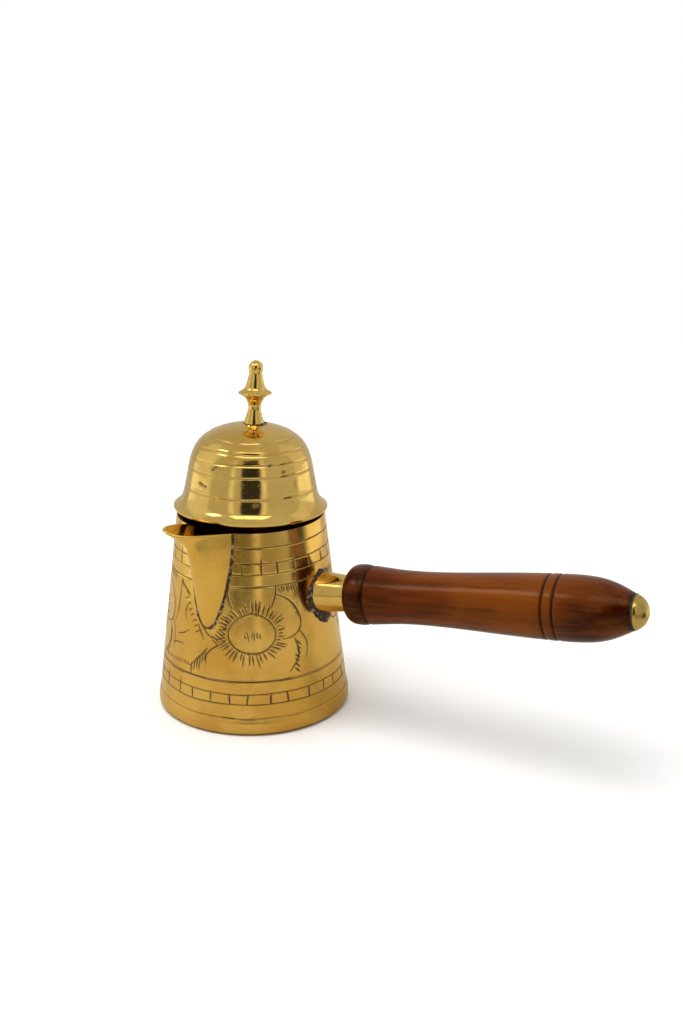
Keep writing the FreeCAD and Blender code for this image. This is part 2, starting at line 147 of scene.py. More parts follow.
# ---- curves and surfaces -------------------------------------------------------------------------
def smooth_curve(points, step=0.5):
    """Points along a smooth curve through the given ones, about a step apart."""
    p = np.array(points, float)
    n = len(p)
    t = np.concatenate([[0], np.cumsum(np.sqrt(np.linalg.norm(np.diff(p, axis=0), axis=1)) ** 2)])
    h = np.diff(t)
    a = np.zeros((n, n))
    b = np.zeros((n, p.shape[1]))
    a[0, 0] = a[-1, -1] = 1.0
    for i in range(1, n - 1):
        a[i, i - 1:i + 2] = h[i - 1], 2 * (h[i - 1] + h[i]), h[i]
        b[i] = 6 * ((p[i + 1] - p[i]) / h[i] - (p[i] - p[i - 1]) / h[i - 1])
    m = np.linalg.solve(a, b)
    out = []
    for i in range(n - 1):
        count = max(1, int(round(h[i] / step)))
        for k in range(count):
            u = h[i] * k / count
            v = h[i] - u
            out.append(m[i] * v ** 3 / (6 * h[i]) + m[i + 1] * u ** 3 / (6 * h[i])
                       + (p[i] / h[i] - m[i] * h[i] / 6) * v + (p[i + 1] / h[i] - m[i + 1] * h[i] / 6) * u)
    out.append(p[-1])
    return [tuple(q) for q in out]


def arc_between(a, b, bulge, steps=6):
    """Points of a shallow arc from a to b, its middle bulging to the left of the way, without b."""
    ax, ay = a
    bx, by = b
    length = sqrt((bx - ax) ** 2 + (by - ay) ** 2)
    nx, ny = -(by - ay) / length, (bx - ax) / length
    out = []
    for k in range(steps):
        t = k / steps
        rise = bulge * 4 * t * (1 - t)
        out.append((ax + (bx - ax) * t + nx * rise, ay + (by - ay) * t + ny * rise))
    return out


def ball_top(radius, z, top, steps=8):
    """The arc of a ball about the axis, from a ring of that radius at z up to its top."""
    height = top - z
    ball = (radius ** 2 + height ** 2) / (2 * height)
    start = atan2(radius, ball - height) if height < ball else pi - asin(min(radius / ball, 1))
    return [(ball * sin(start * (1 - k / steps)), top - ball + ball * cos(start * (1 - k / steps)))
            for k in range(steps + 1)]


def shell_mesh(name, points, faces):
    """A mesh object from points in millimetres."""
    mesh = bpy.data.meshes.new(name)
    mesh.from_pydata([tuple(Vector(p) * MM) for p in points], [], faces)
    mesh.update()
    piece = bpy.data.objects.new(name, mesh)
    bpy.context.scene.collection.objects.link(piece)
    return piece


def finish_piece(piece, material, body, nodes, sharp):
    """Faces out, smooth but for its sharp edges, with its finish, on its body."""
    work = bmesh.new()
    work.from_mesh(piece.data)
    bmesh.ops.remove_doubles(work, verts=work.verts, dist=1e-7)
    bmesh.ops.dissolve_degenerate(work, edges=work.edges, dist=1e-8)
    bmesh.ops.recalc_face_normals(work, faces=work.faces)
    for face in work.faces:
        face.smooth = True
    for edge in work.edges:
        edge.smooth = not (edge.is_manifold and edge.calc_face_angle(0) > radians(sharp))
    work.to_mesh(piece.data)
    work.free()
    piece.data.materials.clear()
    piece.data.materials.append(material)
    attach(piece, body)
    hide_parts(*nodes)


def turned(name, outline, place=UPRIGHT, columns=128, touch=None, closed=True):
    """An outline of (radius, z) pairs swept about Z. touch(angle, radius, z, point) moves a point."""
    points, rows = [], []
    for radius, z in outline:
        if radius < 1e-6:
            rows.append([len(points)] * columns)
            points.append(place @ Vector((0, 0, z)))
            continue
        rows.append(list(range(len(points), len(points) + columns)))
        for k in range(columns):
            angle = 2 * pi * k / columns
            point = Vector((radius * cos(angle), radius * sin(angle), z))
            if touch:
                point = touch(angle, radius, z, point)
            points.append(place @ point)
    pairs = list(zip(rows, rows[1:]))
    if closed:
        pairs.append((rows[-1], rows[0]))
    faces = []
    for low, high in pairs:
        for k in range(columns):
            nxt = (k + 1) % columns
            corners = [low[k], low[nxt], high[nxt], high[k]]
            face = without_repeats(corners)
            if len(face) > 2:
                faces.append(face)
    return shell_mesh(name, points, faces)


def grid_faces(rows, columns, wrap=False, ring=False):
    """Faces between rows of points. wrap closes each row, ring also joins the last row to the first."""
    faces = []
    for i in range(rows if ring else rows - 1):
        low, high = i * columns, (i + 1) % rows * columns
        for j in range(columns if wrap else columns - 1):
            nxt = (j + 1) % columns
            faces.append([low + j, low + nxt, high + nxt, high + j])
    return faces


def without_repeats(corners):
    return [c for i, c in enumerate(corners) if c not in corners[:i]]


def ripple(point, size, seed=0.0):
    """Smooth noise from -1 to 1 that changes over about that size."""
    x, y, z = point
    return noise.noise(Vector((x / size + seed, y / size - seed, z / size + 2 * seed)))


def ripple_round(angle, spread, along, seed):
    """Smooth noise round a turned piece, which meets itself after a full turn."""
    return ripple((cos(angle) * spread, sin(angle) * spread, along), 1.0, seed)


# ---- node helpers --------------------------------------------------------------------------------
class Nodes:
    """A node tree being filled: adds nodes and links them."""

    def __init__(self, tree):
        self.tree = tree

    def add(self, kind, **values):
        node = self.tree.nodes.new(kind)
        for key, value in values.items():
            setattr(node, key, value)
        return node

    def link(self, source, target):
        self.tree.links.new(source, target)

    def put(self, target, value):
        """A link or a plain value into a socket."""
        if isinstance(value, bpy.types.NodeSocket):
            self.link(value, target)
        else:
            target.default_value = value

    def math(self, operation, a, b=0.0, c=0.0, clamp=False):
        node = self.add("ShaderNodeMath", operation=operation, use_clamp=clamp)
        for socket, value in zip(node.inputs, (a, b, c)):
            self.put(socket, value)
        return node.outputs[0]

    def mix(self, share, a, b, blend="MIX"):
        node = self.add("ShaderNodeMix", data_type="RGBA", blend_type=blend)
        for socket, value in ((node.inputs[0], share), (node.inputs[6], a), (node.inputs[7], b)):
            self.put(socket, value)
        return node.outputs[2]

    def ramp(self, value, low, high, out_low=0.0, out_high=1.0):
        node = self.add("ShaderNodeMapRange", interpolation_type="SMOOTHSTEP")
        for socket, item in zip(node.inputs, (value, low, high, out_low, out_high)):
            self.put(socket, item)
        return node.outputs[0]

    def noise(self, where, scale, detail=2.0, rough=0.5, distortion=0.0):
        node = self.add("ShaderNodeTexNoise")
        self.put(node.inputs["Vector"], where)
        for key, value in (("Scale", scale), ("Detail", detail), ("Roughness", rough),
                           ("Distortion", distortion)):
            self.put(node.inputs[key], value)
        return node.outputs["Fac"]

    def stretched(self, where, scale, turn=(0.0, 0.0, 0.0)):
        node = self.add("ShaderNodeMapping")
        self.put(node.inputs["Vector"], where)
        node.inputs["Rotation"].default_value = turn
        node.inputs["Scale"].default_value = scale
        return node.outputs[0]


def effect_group(name, inputs, outputs):
    """An empty node group with named sockets: (name, kind, value) in and (name, kind) out."""
    tree = bpy.data.node_groups.new(name, "ShaderNodeTree")
    kinds = {"number": "NodeSocketFloat", "colour": "NodeSocketColor", "vector": "NodeSocketVector"}
    for label, kind, value in inputs:
        socket = tree.interface.new_socket(label, in_out="INPUT", socket_type=kinds[kind])
        if value is not None:
            socket.default_value = value
    for label, kind in outputs:
        tree.interface.new_socket(label, in_out="OUTPUT", socket_type=kinds[kind])
    nodes = Nodes(tree)
    return tree, nodes, nodes.add("NodeGroupInput").outputs, nodes.add("NodeGroupOutput").inputs


def place_group(nodes, tree, **values):
    node = nodes.add("ShaderNodeGroup", node_tree=tree)
    for key, value in values.items():
        nodes.put(node.inputs[key.replace("_", " ")], value)
    return node.outputs


# ---- finishes shared by the metals and the wood --------------------------------------------------
def make_hand_polish():
    """Buffed brass: cloudy tint, fine scratches that run any way, and soft dents of the hammer."""
    tree, n, given, out = effect_group(
        "hand polish",
        [("Place", "vector", None), ("Bright", "colour", (0.8, 0.55, 0.2, 1)),
         ("Deep", "colour", (0.6, 0.35, 0.1, 1)), ("Smooth", "number", 0.1), ("Cloudy", "number", 0.2)],
        [("Colour", "colour"), ("Roughness", "number"), ("Height", "number")])
    cloud = n.noise(given["Place"], 55.0, 4.0, 0.6)
    patch = n.ramp(cloud, 0.38, 0.66)
    fine = n.noise(given["Place"], 700.0, 2.0, 0.6)
    lines = n.noise(n.stretched(given["Place"], (260.0, 260.0, 2600.0), (0.5, 0.3, 0.0)), 1.0, 3.0, 0.7)
    cross = n.noise(n.stretched(given["Place"], (2400.0, 2400.0, 240.0), (0.2, -0.4, 0.6)), 1.0, 3.0, 0.7)
    scratch = n.math("MAXIMUM", n.ramp(lines, 0.62, 0.72), n.ramp(cross, 0.63, 0.73))
    n.link(n.mix(patch, given["Bright"], given["Deep"]), out["Colour"])
    rough = n.math("MULTIPLY_ADD", patch, given["Cloudy"], given["Smooth"])
    rough = n.math("MULTIPLY_ADD", scratch, 0.10, rough)
    n.link(n.math("MULTIPLY_ADD", n.ramp(fine, 0.45, 0.75), 0.05, rough), out["Roughness"])
    dents = n.noise(given["Place"], 95.0, 1.0, 0.4)
    height = n.math("MULTIPLY_ADD", scratch, -0.06, dents)
    n.link(n.math("MULTIPLY_ADD", fine, 0.05, height), out["Height"])
    return tree


def make_tarnish():
    """Brown-black tarnish that gathers where the mask says and in scattered spots."""
    tree, n, given, out = effect_group(
        "tarnish",
        [("Place", "vector", None), ("Colour", "colour", (0.7, 0.5, 0.2, 1)),
         ("Dark", "colour", (0.028, 0.011, 0.003, 1)), ("Mask", "number", 0.0), ("Spots", "number", 0.2),
         ("Roughness", "number", 0.15)],
        [("Colour", "colour"), ("Roughness", "number"), ("Metallic", "number")])
    speck = n.ramp(n.noise(given["Place"], 420.0, 3.0, 0.6), 0.70, 0.76)
    area = n.ramp(n.noise(given["Place"], 70.0, 2.0, 0.5), 0.52, 0.62)
    spots = n.math("MULTIPLY", n.math("MULTIPLY", speck, area), given["Spots"])
    share = n.math("MAXIMUM", given["Mask"], spots, clamp=True)
    n.link(n.mix(share, given["Colour"], given["Dark"]), out["Colour"])
    n.link(n.math("MULTIPLY_ADD", share, 0.45, given["Roughness"]), out["Roughness"])
    n.link(n.math("MULTIPLY_ADD", share, -0.75, 1.0), out["Metallic"])
    return tree


def make_wood_grain():
    """Long grain and pores along one axis, with flowing darker growth bands."""
    tree, n, given, out = effect_group(
        "wood grain",
        [("Place", "vector", None), ("Light", "colour", (0.3, 0.1, 0.02, 1)),
         ("Dark", "colour", (0.1, 0.02, 0.005, 1))],
        [("Colour", "colour"), ("Pores", "number"), ("Height", "number")])
    along = n.stretched(given["Place"], (9.0, 9.0, 1.0))
    sway = n.noise(along, 14.0, 3.0, 0.55, 0.6)
    band = n.add("ShaderNodeTexWave", wave_type="RINGS", rings_direction="Z")
    n.put(band.inputs["Vector"], n.stretched(given["Place"], (1.0, 1.0, 0.10), (0.10, 0.05, 0.0)))
    for key, value in (("Scale", 40.0), ("Distortion", 7.5), ("Detail", 3.0), ("Detail Scale", 1.6)):
        band.inputs[key].default_value = value
    growth = n.ramp(band.outputs["Fac"], 0.15, 0.95)
    streak = n.ramp(sway, 0.34, 0.68)
    tone = n.math("MULTIPLY_ADD", growth, 0.45, n.math("MULTIPLY", streak, 0.55))
    pores = n.ramp(n.noise(n.stretched(given["Place"], (1100.0, 1100.0, 45.0)), 1.0, 2.0, 0.5), 0.62, 0.72)
    base = n.mix(tone, given["Dark"], given["Light"])
    n.link(n.mix(n.math("MULTIPLY", pores, 0.8), base, given["Dark"]), out["Colour"])
    n.link(pores, out["Pores"])
    n.link(n.math("MULTIPLY_ADD", pores, -0.5, n.math("MULTIPLY", sway, 0.4)), out["Height"])
    return tree


POLISH = make_hand_polish()
TARNISH = make_tarnish()
GRAIN = make_wood_grain()


def new_material(name):
    material = bpy.data.materials.new(name)
    material.use_nodes = True
    material.node_tree.nodes.clear()
    nodes = Nodes(material.node_tree)
    shader = nodes.add("ShaderNodeBsdfPrincipled")
    nodes.link(shader.outputs[0], nodes.add("ShaderNodeOutputMaterial").inputs[0])
    place = nodes.add("ShaderNodeTexCoord").outputs["Object"]
    return material, nodes, shader, place


def bump(nodes, height, strength, distance):
    node = nodes.add("ShaderNodeBump")
    node.inputs["Strength"].default_value = strength
    node.inputs["Distance"].default_value = distance
    nodes.link(height, node.inputs["Height"])
    return node.outputs[0]


def brass(name, bright, deep, smooth, cloudy, spots, mask="", dent=0.5):
    """Polished brass. mask is a mesh attribute that darkens it where it is cut or worn."""
    material, n, shader, place = new_material(name)
    polish = place_group(n, POLISH, Place=place, Bright=(*bright, 1), Deep=(*deep, 1),
                         Smooth=smooth, Cloudy=cloudy)
    values = {"Place": place, "Colour": polish["Colour"], "Spots": spots, "Roughness": polish["Roughness"]}
    if mask:
        values["Mask"] = n.add("ShaderNodeAttribute", attribute_name=mask).outputs["Fac"]
    worn = place_group(n, TARNISH, **values)
    n.link(worn["Colour"], shader.inputs["Base Color"])
    n.link(worn["Roughness"], shader.inputs["Roughness"])
    n.link(worn["Metallic"], shader.inputs["Metallic"])
    n.link(bump(n, polish["Height"], dent, 0.00012), shader.inputs["Normal"])
    return material


def solder_finish():
    """Old solder: blackened, lumpy, rubbed back to grey-silver on its high spots."""
    material, n, shader, place = new_material("blackened solder")
    lumps = n.noise(place, 900.0, 3.0, 0.65)
    rubbed = n.ramp(n.noise(place, 520.0, 4.0, 0.7), 0.52, 0.66)
    n.link(n.mix(rubbed, (0.070, 0.036, 0.017, 1), (0.52, 0.45, 0.37, 1)), shader.inputs["Base Color"])
    n.link(n.math("MULTIPLY_ADD", rubbed, -0.2, 0.55), shader.inputs["Roughness"])
    n.link(n.math("MULTIPLY_ADD", rubbed, 0.7, 0.25), shader.inputs["Metallic"])
    n.link(bump(n, lumps, 0.9, 0.0005), shader.inputs["Normal"])
    return material


def wood_finish():
    """Red-brown turned hardwood under glossy varnish, darkened in the burnt grooves."""
    material, n, shader, place = new_material("varnished handle wood")
    along = n.stretched(place, (1.0, 1.0, 1.0), (0.0, -(pi / 2 - SLOPE), 0.0))
    grain = place_group(n, GRAIN, Place=along, Light=(0.235, 0.048, 0.002, 1),
                        Dark=(0.042, 0.0050, 0.0004, 1))
    tint = n.ramp(n.noise(along, 34.0, 1.0, 0.5), 0.40, 0.62)
    warm = n.mix(n.math("MULTIPLY", tint, 0.6), grain["Colour"], (0.205, 0.056, 0.002, 1))
    # this attribute holds real stain and, on the lower front side near the cap end, painted shade
    red = n.add("ShaderNodeAttribute", attribute_name="stain_and_shade").outputs["Fac"]
    streaks = n.noise(n.stretched(along, (420.0, 420.0, 26.0)), 1.0, 3.0, 0.6)
    red = n.math("MULTIPLY", red, n.ramp(streaks, 0.28, 0.66, 0.55, 1.1), clamp=True)
    warm = n.mix(n.ramp(streaks, 0.54, 0.70, 0.0, 0.62), warm, (0.060, 0.009, 0.0008, 1))
    stained = n.mix(red, warm, (0.030, 0.0022, 0.0006, 1))
    burnt = n.add("ShaderNodeAttribute", attribute_name="burnt").outputs["Fac"]
    n.link(n.mix(burnt, stained, (0.006, 0.003, 0.002, 1)), shader.inputs["Base Color"])
    n.link(n.math("MULTIPLY_ADD", grain["Pores"], 0.2, 0.27), shader.inputs["Roughness"])
    n.link(n.math("MULTIPLY_ADD", burnt, -0.1, 0.20), shader.inputs["Coat Weight"])
    shader.inputs["Specular IOR Level"].default_value = 0.32
    shader.inputs["Specular Tint"].default_value = (1.0, 0.45, 0.10, 1)
    shader.inputs["Coat Roughness"].default_value = 0.10
    shader.inputs["Coat IOR"].default_value = 1.5
    n.link(bump(n, grain["Height"], 0.35, 0.00025), shader.inputs["Normal"])
    ripples = n.noise(n.stretched(along, (1.0, 1.0, 0.35)), 330.0, 3.0, 0.6)
    n.link(bump(n, ripples, 0.5, 0.0002), shader.inputs["Coat Normal"])
    return material


def plain_steel():
    material, n, shader, place = new_material("rod steel")
    marks = n.noise(n.stretched(place, (3000.0, 120.0, 3000.0)), 1.0, 2.0, 0.6)
    n.link(n.mix(n.ramp(marks, 0.4, 0.7), (0.42, 0.41, 0.40, 1), (0.25, 0.24, 0.23, 1)),
           shader.inputs["Base Color"])
    n.link(n.math("MULTIPLY_ADD", marks, 0.3, 0.2), shader.inputs["Roughness"])
    shader.inputs["Metallic"].default_value = 1.0
    n.link(bump(n, marks, 0.3, 0.0001), shader.inputs["Normal"])
    return material


def washer_finish():
    material, n, shader, place = new_material("black washer")
    mottle = n.noise(place, 800.0, 3.0, 0.6)
    n.link(n.mix(mottle, (0.010, 0.007, 0.005, 1), (0.05, 0.03, 0.02, 1)), shader.inputs["Base Color"])
    n.link(n.math("MULTIPLY_ADD", mottle, 0.2, 0.45), shader.inputs["Roughness"])
    n.link(bump(n, mottle, 0.4, 0.0001), shader.inputs["Normal"])
    return material


BODY_BRASS = brass("engraved body brass", (0.86, 0.565, 0.15), (0.75, 0.45, 0.095),
                   smooth=0.13, cloudy=0.07, spots=0.25, mask="cut")
SPOUT_BRASS = brass("spout brass", (0.88, 0.57, 0.13), (0.80, 0.50, 0.10),
                    smooth=0.20, cloudy=0.08, spots=0.15)
LID_BRASS = brass("lid brass", (0.82, 0.58, 0.18), (0.72, 0.48, 0.13),
                  smooth=0.07, cloudy=0.05, spots=0.6, mask="cut", dent=0.7)
TURNED_BRASS = brass("turned brass", (0.84, 0.59, 0.18), (0.76, 0.50, 0.13),
                     smooth=0.08, cloudy=0.05, spots=0.2)
CAP_BRASS = brass("cap brass", (0.60, 0.43, 0.13), (0.46, 0.31, 0.08),
                  smooth=0.20, cloudy=0.10, spots=0.0)
HINGE_BRASS = brass("hinge brass", (0.66, 0.42, 0.13), (0.50, 0.29, 0.08),
                    smooth=0.22, cloudy=0.12, spots=1.0)
# Near-black collar between lid and rim: partly real tarnish, partly painted shade of the gap under the
# lid's overhang.
SHADED_TARNISHED_BRASS = brass("tarnished brass and painted shade", (0.085, 0.045, 0.016), (0.03, 0.016, 0.008),
                   smooth=0.35, cloudy=0.15, spots=1.0)
SOLDER = solder_finish()
WOOD = wood_finish()
STEEL = plain_steel()
WASHER = washer_finish()


# ---- engraving -----------------------------------------------------------------------------------
# A stroke is a list of (degrees round the pot, height) with the graver's width and depth at each end.
FLOWERS = (FRONT_FLOWER, 38.0, 122.0, -158.0)
HEART_HEIGHT = 33.9
HEART_SIZE = (7.5, 6.2)         # half width and half height of a flower's heart
MM_PER_DEGREE = radians(1) * 27.5
luck = np.random.default_rng(11)
strokes = []


def engrave(points, width=0.26, depth=0.13, taper=0.5, jitter=0.0):
    """Adds one cut, drawn as a smooth line through (degrees, height) points."""
    flat = [(a * MM_PER_DEGREE, z) for a, z in points]
    if jitter:
        flat = [(x + luck.normal(0, jitter), z + luck.normal(0, jitter)) for x, z in flat]
    path = smooth_curve(flat, 0.13)
    strokes.append((path, width * 1.35, depth * 1.15, taper))


def ring_line(height, width=0.22, depth=0.10, wander=0.14, pieces=5, start=0.0):
    """A line round the pot, scribed in a few overlapping sweeps that never quite meet."""
    for k in range(pieces):
        a0 = start + 360.0 * k / pieces - 3
        a1 = start + 360.0 * (k + 1) / pieces + 5
        offset = luck.normal(0, wander * 0.6)
        points = [(a0 + (a1 - a0) * s / 7, height + offset + luck.normal(0, wander * 0.5))
                  for s in range(8)]
        engrave(points, width * luck.uniform(0.7, 1.05), depth * luck.uniform(0.8, 1.2), 0.15)


def brick_ticks(low, high, pitch, start, lean=0.0):
    """Short upright cuts between two ring lines, as a course of bricks."""
    count = int(round(360 / pitch))
    for k in range(count):
        a = start + 360 / count * k + luck.normal(0, 0.7)
        over = 1.4 if luck.random() < 0.12 else 0.1
        engrave([(a + lean, low + luck.uniform(-0.1, 0.35)), (a + luck.normal(0, 0.3), high + over)],
                luck.uniform(0.32, 0.42), 0.15, 0.3)


def flower_core(at, middle, half_width, half_height):
    """The round heart of a flower, a little pointed on top."""
    points = []
    for k in range(13):
        turn = 2 * pi * k / 12 + pi / 2
        stretch = 1 + 0.13 * max(0, sin(turn)) ** 8
        points.append((at + half_width * cos(turn) / MM_PER_DEGREE,
                       middle + half_height * sin(turn) * stretch))
    engrave(points, 0.28, 0.12, 0.1, 0.08)


def seed_marks(at, middle):
    """Six leaning ticks inside the heart, the middle ones tallest."""
    for k in range(6):
        x = (k - 2.5) * 0.85
        tall = 1.6 - abs(k - 2.5) * 0.3
        engrave([(at + x / MM_PER_DEGREE, middle + tall), (at + (x + 0.5) / MM_PER_DEGREE, middle - tall)],
                0.24, 0.09, 0.7, 0.22)


def sun_strokes(at, middle, half_width, half_height, count=44):
    """Short cuts standing round the heart like rays."""
    for k in range(count):
        turn = 2 * pi * (k + luck.uniform(-0.25, 0.25)) / count
        gap = luck.uniform(1.06, 1.16)
        long = luck.uniform(2.2, 4.5) * (1.0 if abs(sin(turn)) > 0.35 else 0.6)
        lean = luck.normal(0.14, 0.06)
        x0, z0 = half_width * gap * cos(turn), half_height * gap * sin(turn)
        x1 = x0 + long * cos(turn + lean)
        z1 = z0 + long * sin(turn + lean)
        engrave([(at + x0 / MM_PER_DEGREE, middle + z0), (at + x1 / MM_PER_DEGREE, middle + z1)],
                luck.uniform(0.24, 0.36), luck.uniform(0.10, 0.16), 0.75)


def hatch(at, start, end, count, step, **cut):
    """A row of short cuts from start to end, in (mm round the wall, height), each one step long."""
    for k in range(count):
        share = k / max(1, count - 1)
        x = start[0] + (end[0] - start[0]) * share
        z = start[1] + (end[1] - start[1]) * share
        size = luck.uniform(0.75, 1.2)
        far = (at + (x + step[0] * size) / MM_PER_DEGREE, z + step[1] * size)
        engrave([(at + x / MM_PER_DEGREE, z), far], jitter=0.12, **cut)


def arc_line(at, points, **cut):
    """A smooth cut through (mm round the wall, height) points."""
    engrave([(at + x / MM_PER_DEGREE, z) for x, z in points], jitter=0.1, **cut)


def flower(at, upper=49.4, fans=True):
    """One flower with its petals and leaves, its heart at that angle. Sizes in mm round the wall."""
    flower_core(at, HEART_HEIGHT, *HEART_SIZE)
    seed_marks(at, HEART_HEIGHT - 0.4)
    sun_strokes(at, HEART_HEIGHT, *HEART_SIZE)
    for side in (1, -1):
        arc_line(at, [(8.2 * side, upper), (8.1 * side, 46.6), (6.4 * side, 42.2)], width=0.34, depth=0.15)
        arc_line(at, [(8.1 * side, 46.6), (12.6 * side, 43.9), (15.6 * side, 39.4), (16 * side, 35.9),
                      (14.6 * side, 32.9), (9.7 * side, 31.6)], width=0.32, depth=0.14)
        hatch(at, (9.0 * side, upper - 0.3), (15.4 * side, upper - 0.3), 8, (0.7 * side, -2.2),
              width=0.26, depth=0.13, taper=0.8)
    arc_line(at, [(15.6, 33.4), (17.8, 29.5), (17.9, 26.2), (16.8, 23.6)], width=0.26, depth=0.11)
    arc_line(at, [(13.8, 31.3), (14.9, 28.2), (14.7, 25.4), (13.4, 22.8), (11.5, 20.6)],
             width=0.36, depth=0.16)
    hatch(at, (14.6, 30.2), (13.2, 21.6), 7, (1.5, -1.7), width=0.34, depth=0.15, taper=0.8)
    if fans:
        arc_line(at, [(-8.2, 31.3), (-12.1, 28.9), (-14.3, 26), (-14.9, 22.4)], width=0.30, depth=0.13)
        arc_line(at, [(-14.4, 28.2), (-17.6, 24.4), (-20.6, 21.2)], width=0.34, depth=0.15)
        hatch(at, (-14.9, 27.3), (-19.8, 22.3), 6, (-0.5, -4.2), width=0.30, depth=0.14, taper=0.6)


def beside_the_spout(at):
    """The loose leaves and dashes on the far side of the front flower, under the spout."""
    arc_line(at, [(-27.5, 47.8), (-27.8, 41), (-28.6, 37), (-30.1, 33.4)], width=0.30, depth=0.13)
    hatch(at, (-27.6, 48.5), (-23.4, 45.3), 6, (1.2, -2.4), width=0.26, depth=0.12, taper=0.8)
    for points in ([(-27.5, 29.8), (-24.5, 30.9), (-22, 32.6)],
                   [(-30.3, 26), (-27, 27.1), (-23.9, 27.2)],
                   [(-18.3, 35.5), (-17.2, 33.4), (-15.7, 30.8)],
                   [(-22.6, 41.5), (-24, 37.8), (-23.6, 35.6)]):
        arc_line(at, points, width=0.28, depth=0.12)
    hatch(at, (-36, 20.4), (-21, 20.7), 12, (-1.3, 1.5), width=0.28, depth=0.12, taper=0.8)


def draw_engraving():
    for height, width in ((6.1, 0.20), (10.7, 0.24), (14.1, 0.26), (17.9, 0.24)):
        ring_line(height, width, start=-22 + height * 3)
    for height, width in ((49.35, 0.24), (53.2, 0.24), (56.8, 0.24), (61.85, 0.26)):
        ring_line(height, width, start=40 + height * 2)
    ring_line(18.5, 0.18, 0.07, pieces=3, start=200)
    brick_ticks(10.8, 14.0, 12.4, 0.2)
    brick_ticks(53.3, 56.7, 13.3, 0.4, 0.6)
    for at in FLOWERS:
        flower(at, fans=at == FRONT_FLOWER)
    beside_the_spout(FRONT_FLOWER)
    hatch(SPOUT_ANGLE, (1.5, 31.5), (7.6, 41.5), 11, (2.3, -1.9), width=0.26, depth=0.12, taper=0.8)
    hatch(SPOUT_ANGLE - 3, (-1.5, 33.5), (-6.5, 43.5), 7, (-2.0, -1.4), width=0.26, depth=0.12, taper=0.8)
    hatch(0, (10.5, 19.6), (20.5, 19.8), 8, (1.1, 2.0), width=0.28, depth=0.12, taper=0.8)


class Cuts:
    """Every stroke laid on the wall, ready to say how deep the graver went near a point."""

    def __init__(self):
        samples = []
        for path, width, depth, taper in strokes:
            count = len(path)
            for k, (x, z) in enumerate(path):
                share = k / max(1, count - 1)
                ease = min(1.0, (1 - taper) + taper * sin(pi * min(1.0, share * 0.85 + 0.12)))
                samples.append((on_wall(x / MM_PER_DEGREE, z), width * ease, depth * ease))
        self.samples = samples
        self.tree = KDTree(len(samples))
        for k, (point, _, _) in enumerate(samples):
            self.tree.insert(point, k)
        self.tree.balance()

    def near(self, point):
        """Distance to the nearest cut, and its width and depth there."""
        _, k, distance = self.tree.find(point)
        return distance, self.samples[k][1], self.samples[k][2]

    def at(self, point):
        """How far the surface moves, and how dark it is, at a point of the wall."""
        distance, width, depth = self.near(point)
        reach = width * 0.62
        inside = max(0.0, 1 - (distance / reach) ** 2) if distance < reach else 0.0
        burr = exp(-((distance - 1.25 * reach) / (0.35 * reach)) ** 2) if distance < 2.4 * reach else 0.0
        dark = min(1.0, max(0.0, 1.45 - distance / (reach * 0.95)))
        return -depth * inside ** 1.4 + 0.028 * burr, dark


# ---- pot body ------------------------------------------------------------------------------------
def foot_side(inset=0.0):
    """(radius, z) from the start of the foot's flare down and round to the flat ring under it."""
    corner = FOOT_ROUND - inset
    start, end = (SKIRT_RADIUS - inset, SKIRT_HEIGHT), (FOOT_RADIUS - inset, FOOT_HEIGHT)
    side = arc_between(start, end, -0.16, 9) + [end, (FOOT_RADIUS - inset, FOOT_ROUND + 0.5 * corner)]
    for k in range(7):
        turn = pi / 2 * k / 6
        side.append((FOOT_RADIUS - FOOT_ROUND + corner * cos(turn), FOOT_ROUND - corner * sin(turn)))
    return side


def notch_half_width(z):
    """Half the width of the V opening at a height, in mm."""
    half_top = SPOUT_HALF_WIDTH - SPOUT_LAND
    point = POT_HEIGHT - SPOUT_DROP + 3 * SPOUT_LAND
    shoulder = POT_HEIGHT - 0.7 * SPOUT_DROP
    if z <= point:
        return 0.0
    if z <= shoulder:
        return 0.62 * half_top * (z - point) / (shoulder - point)
    return half_top * (0.62 + 0.38 * (z - shoulder) / (POT_HEIGHT - shoulder))


def wall_heights(step=0.9):
    point = POT_HEIGHT - SPOUT_DROP + 3 * SPOUT_LAND
    heights = []
    for z0, z1 in ((POT_HEIGHT, point), (point, SKIRT_HEIGHT)):
        count = int(round((z0 - z1) / step))
        heights += [z0 + (z1 - z0) * k / count for k in range(count)]
    return heights


def body_profile():
    """Rows of the shell: (radius, z, outside) from the rim down outside, under and up inside."""
    heights = wall_heights()
    outside = [(wall_radius(z), z, True) for z in heights] + [(r, z, True) for r, z in foot_side()]
    under = [(SEAT_RADIUS + 1.4, 0.0, False), (SEAT_RADIUS, 0.0, False), (SEAT_RADIUS, BODY_SHEET, False)]
    inside = [(r, z, False) for r, z in foot_side(BODY_SHEET)[::-1]]
    inside += [(wall_radius(z) - BODY_SHEET, z, False) for z in heights[::-1]]
    return outside + under + inside


def make_body_shell(columns=196):
    rows = body_profile()
    work = bmesh.new()
    outer_flag = work.verts.layers.float.new("outer")
    grid = []
    for radius, z, outer in rows:
        half = notch_half_width(z)
        turn_in = asin(min(1.0, half / max(radius, 1)))
        row = []
        for k in range(columns + 1):
            angle = radians(SPOUT_ANGLE) + turn_in + (2 * pi - 2 * turn_in) * k / columns
            if half == 0.0 and k == columns:
                row.append(row[0])
                continue
            vert = work.verts.new((radius * cos(angle), radius * sin(angle), z))
            vert[outer_flag] = 1.0 if outer else 0.0
            row.append(vert)
        grid.append(row)
    for low, high in zip(grid, grid[1:] + grid[:1]):
        for k in range(columns):
            work.faces.new([low[k], low[k + 1], high[k + 1], high[k]])
    fill_notch_sides(work, grid)
    return work, outer_flag


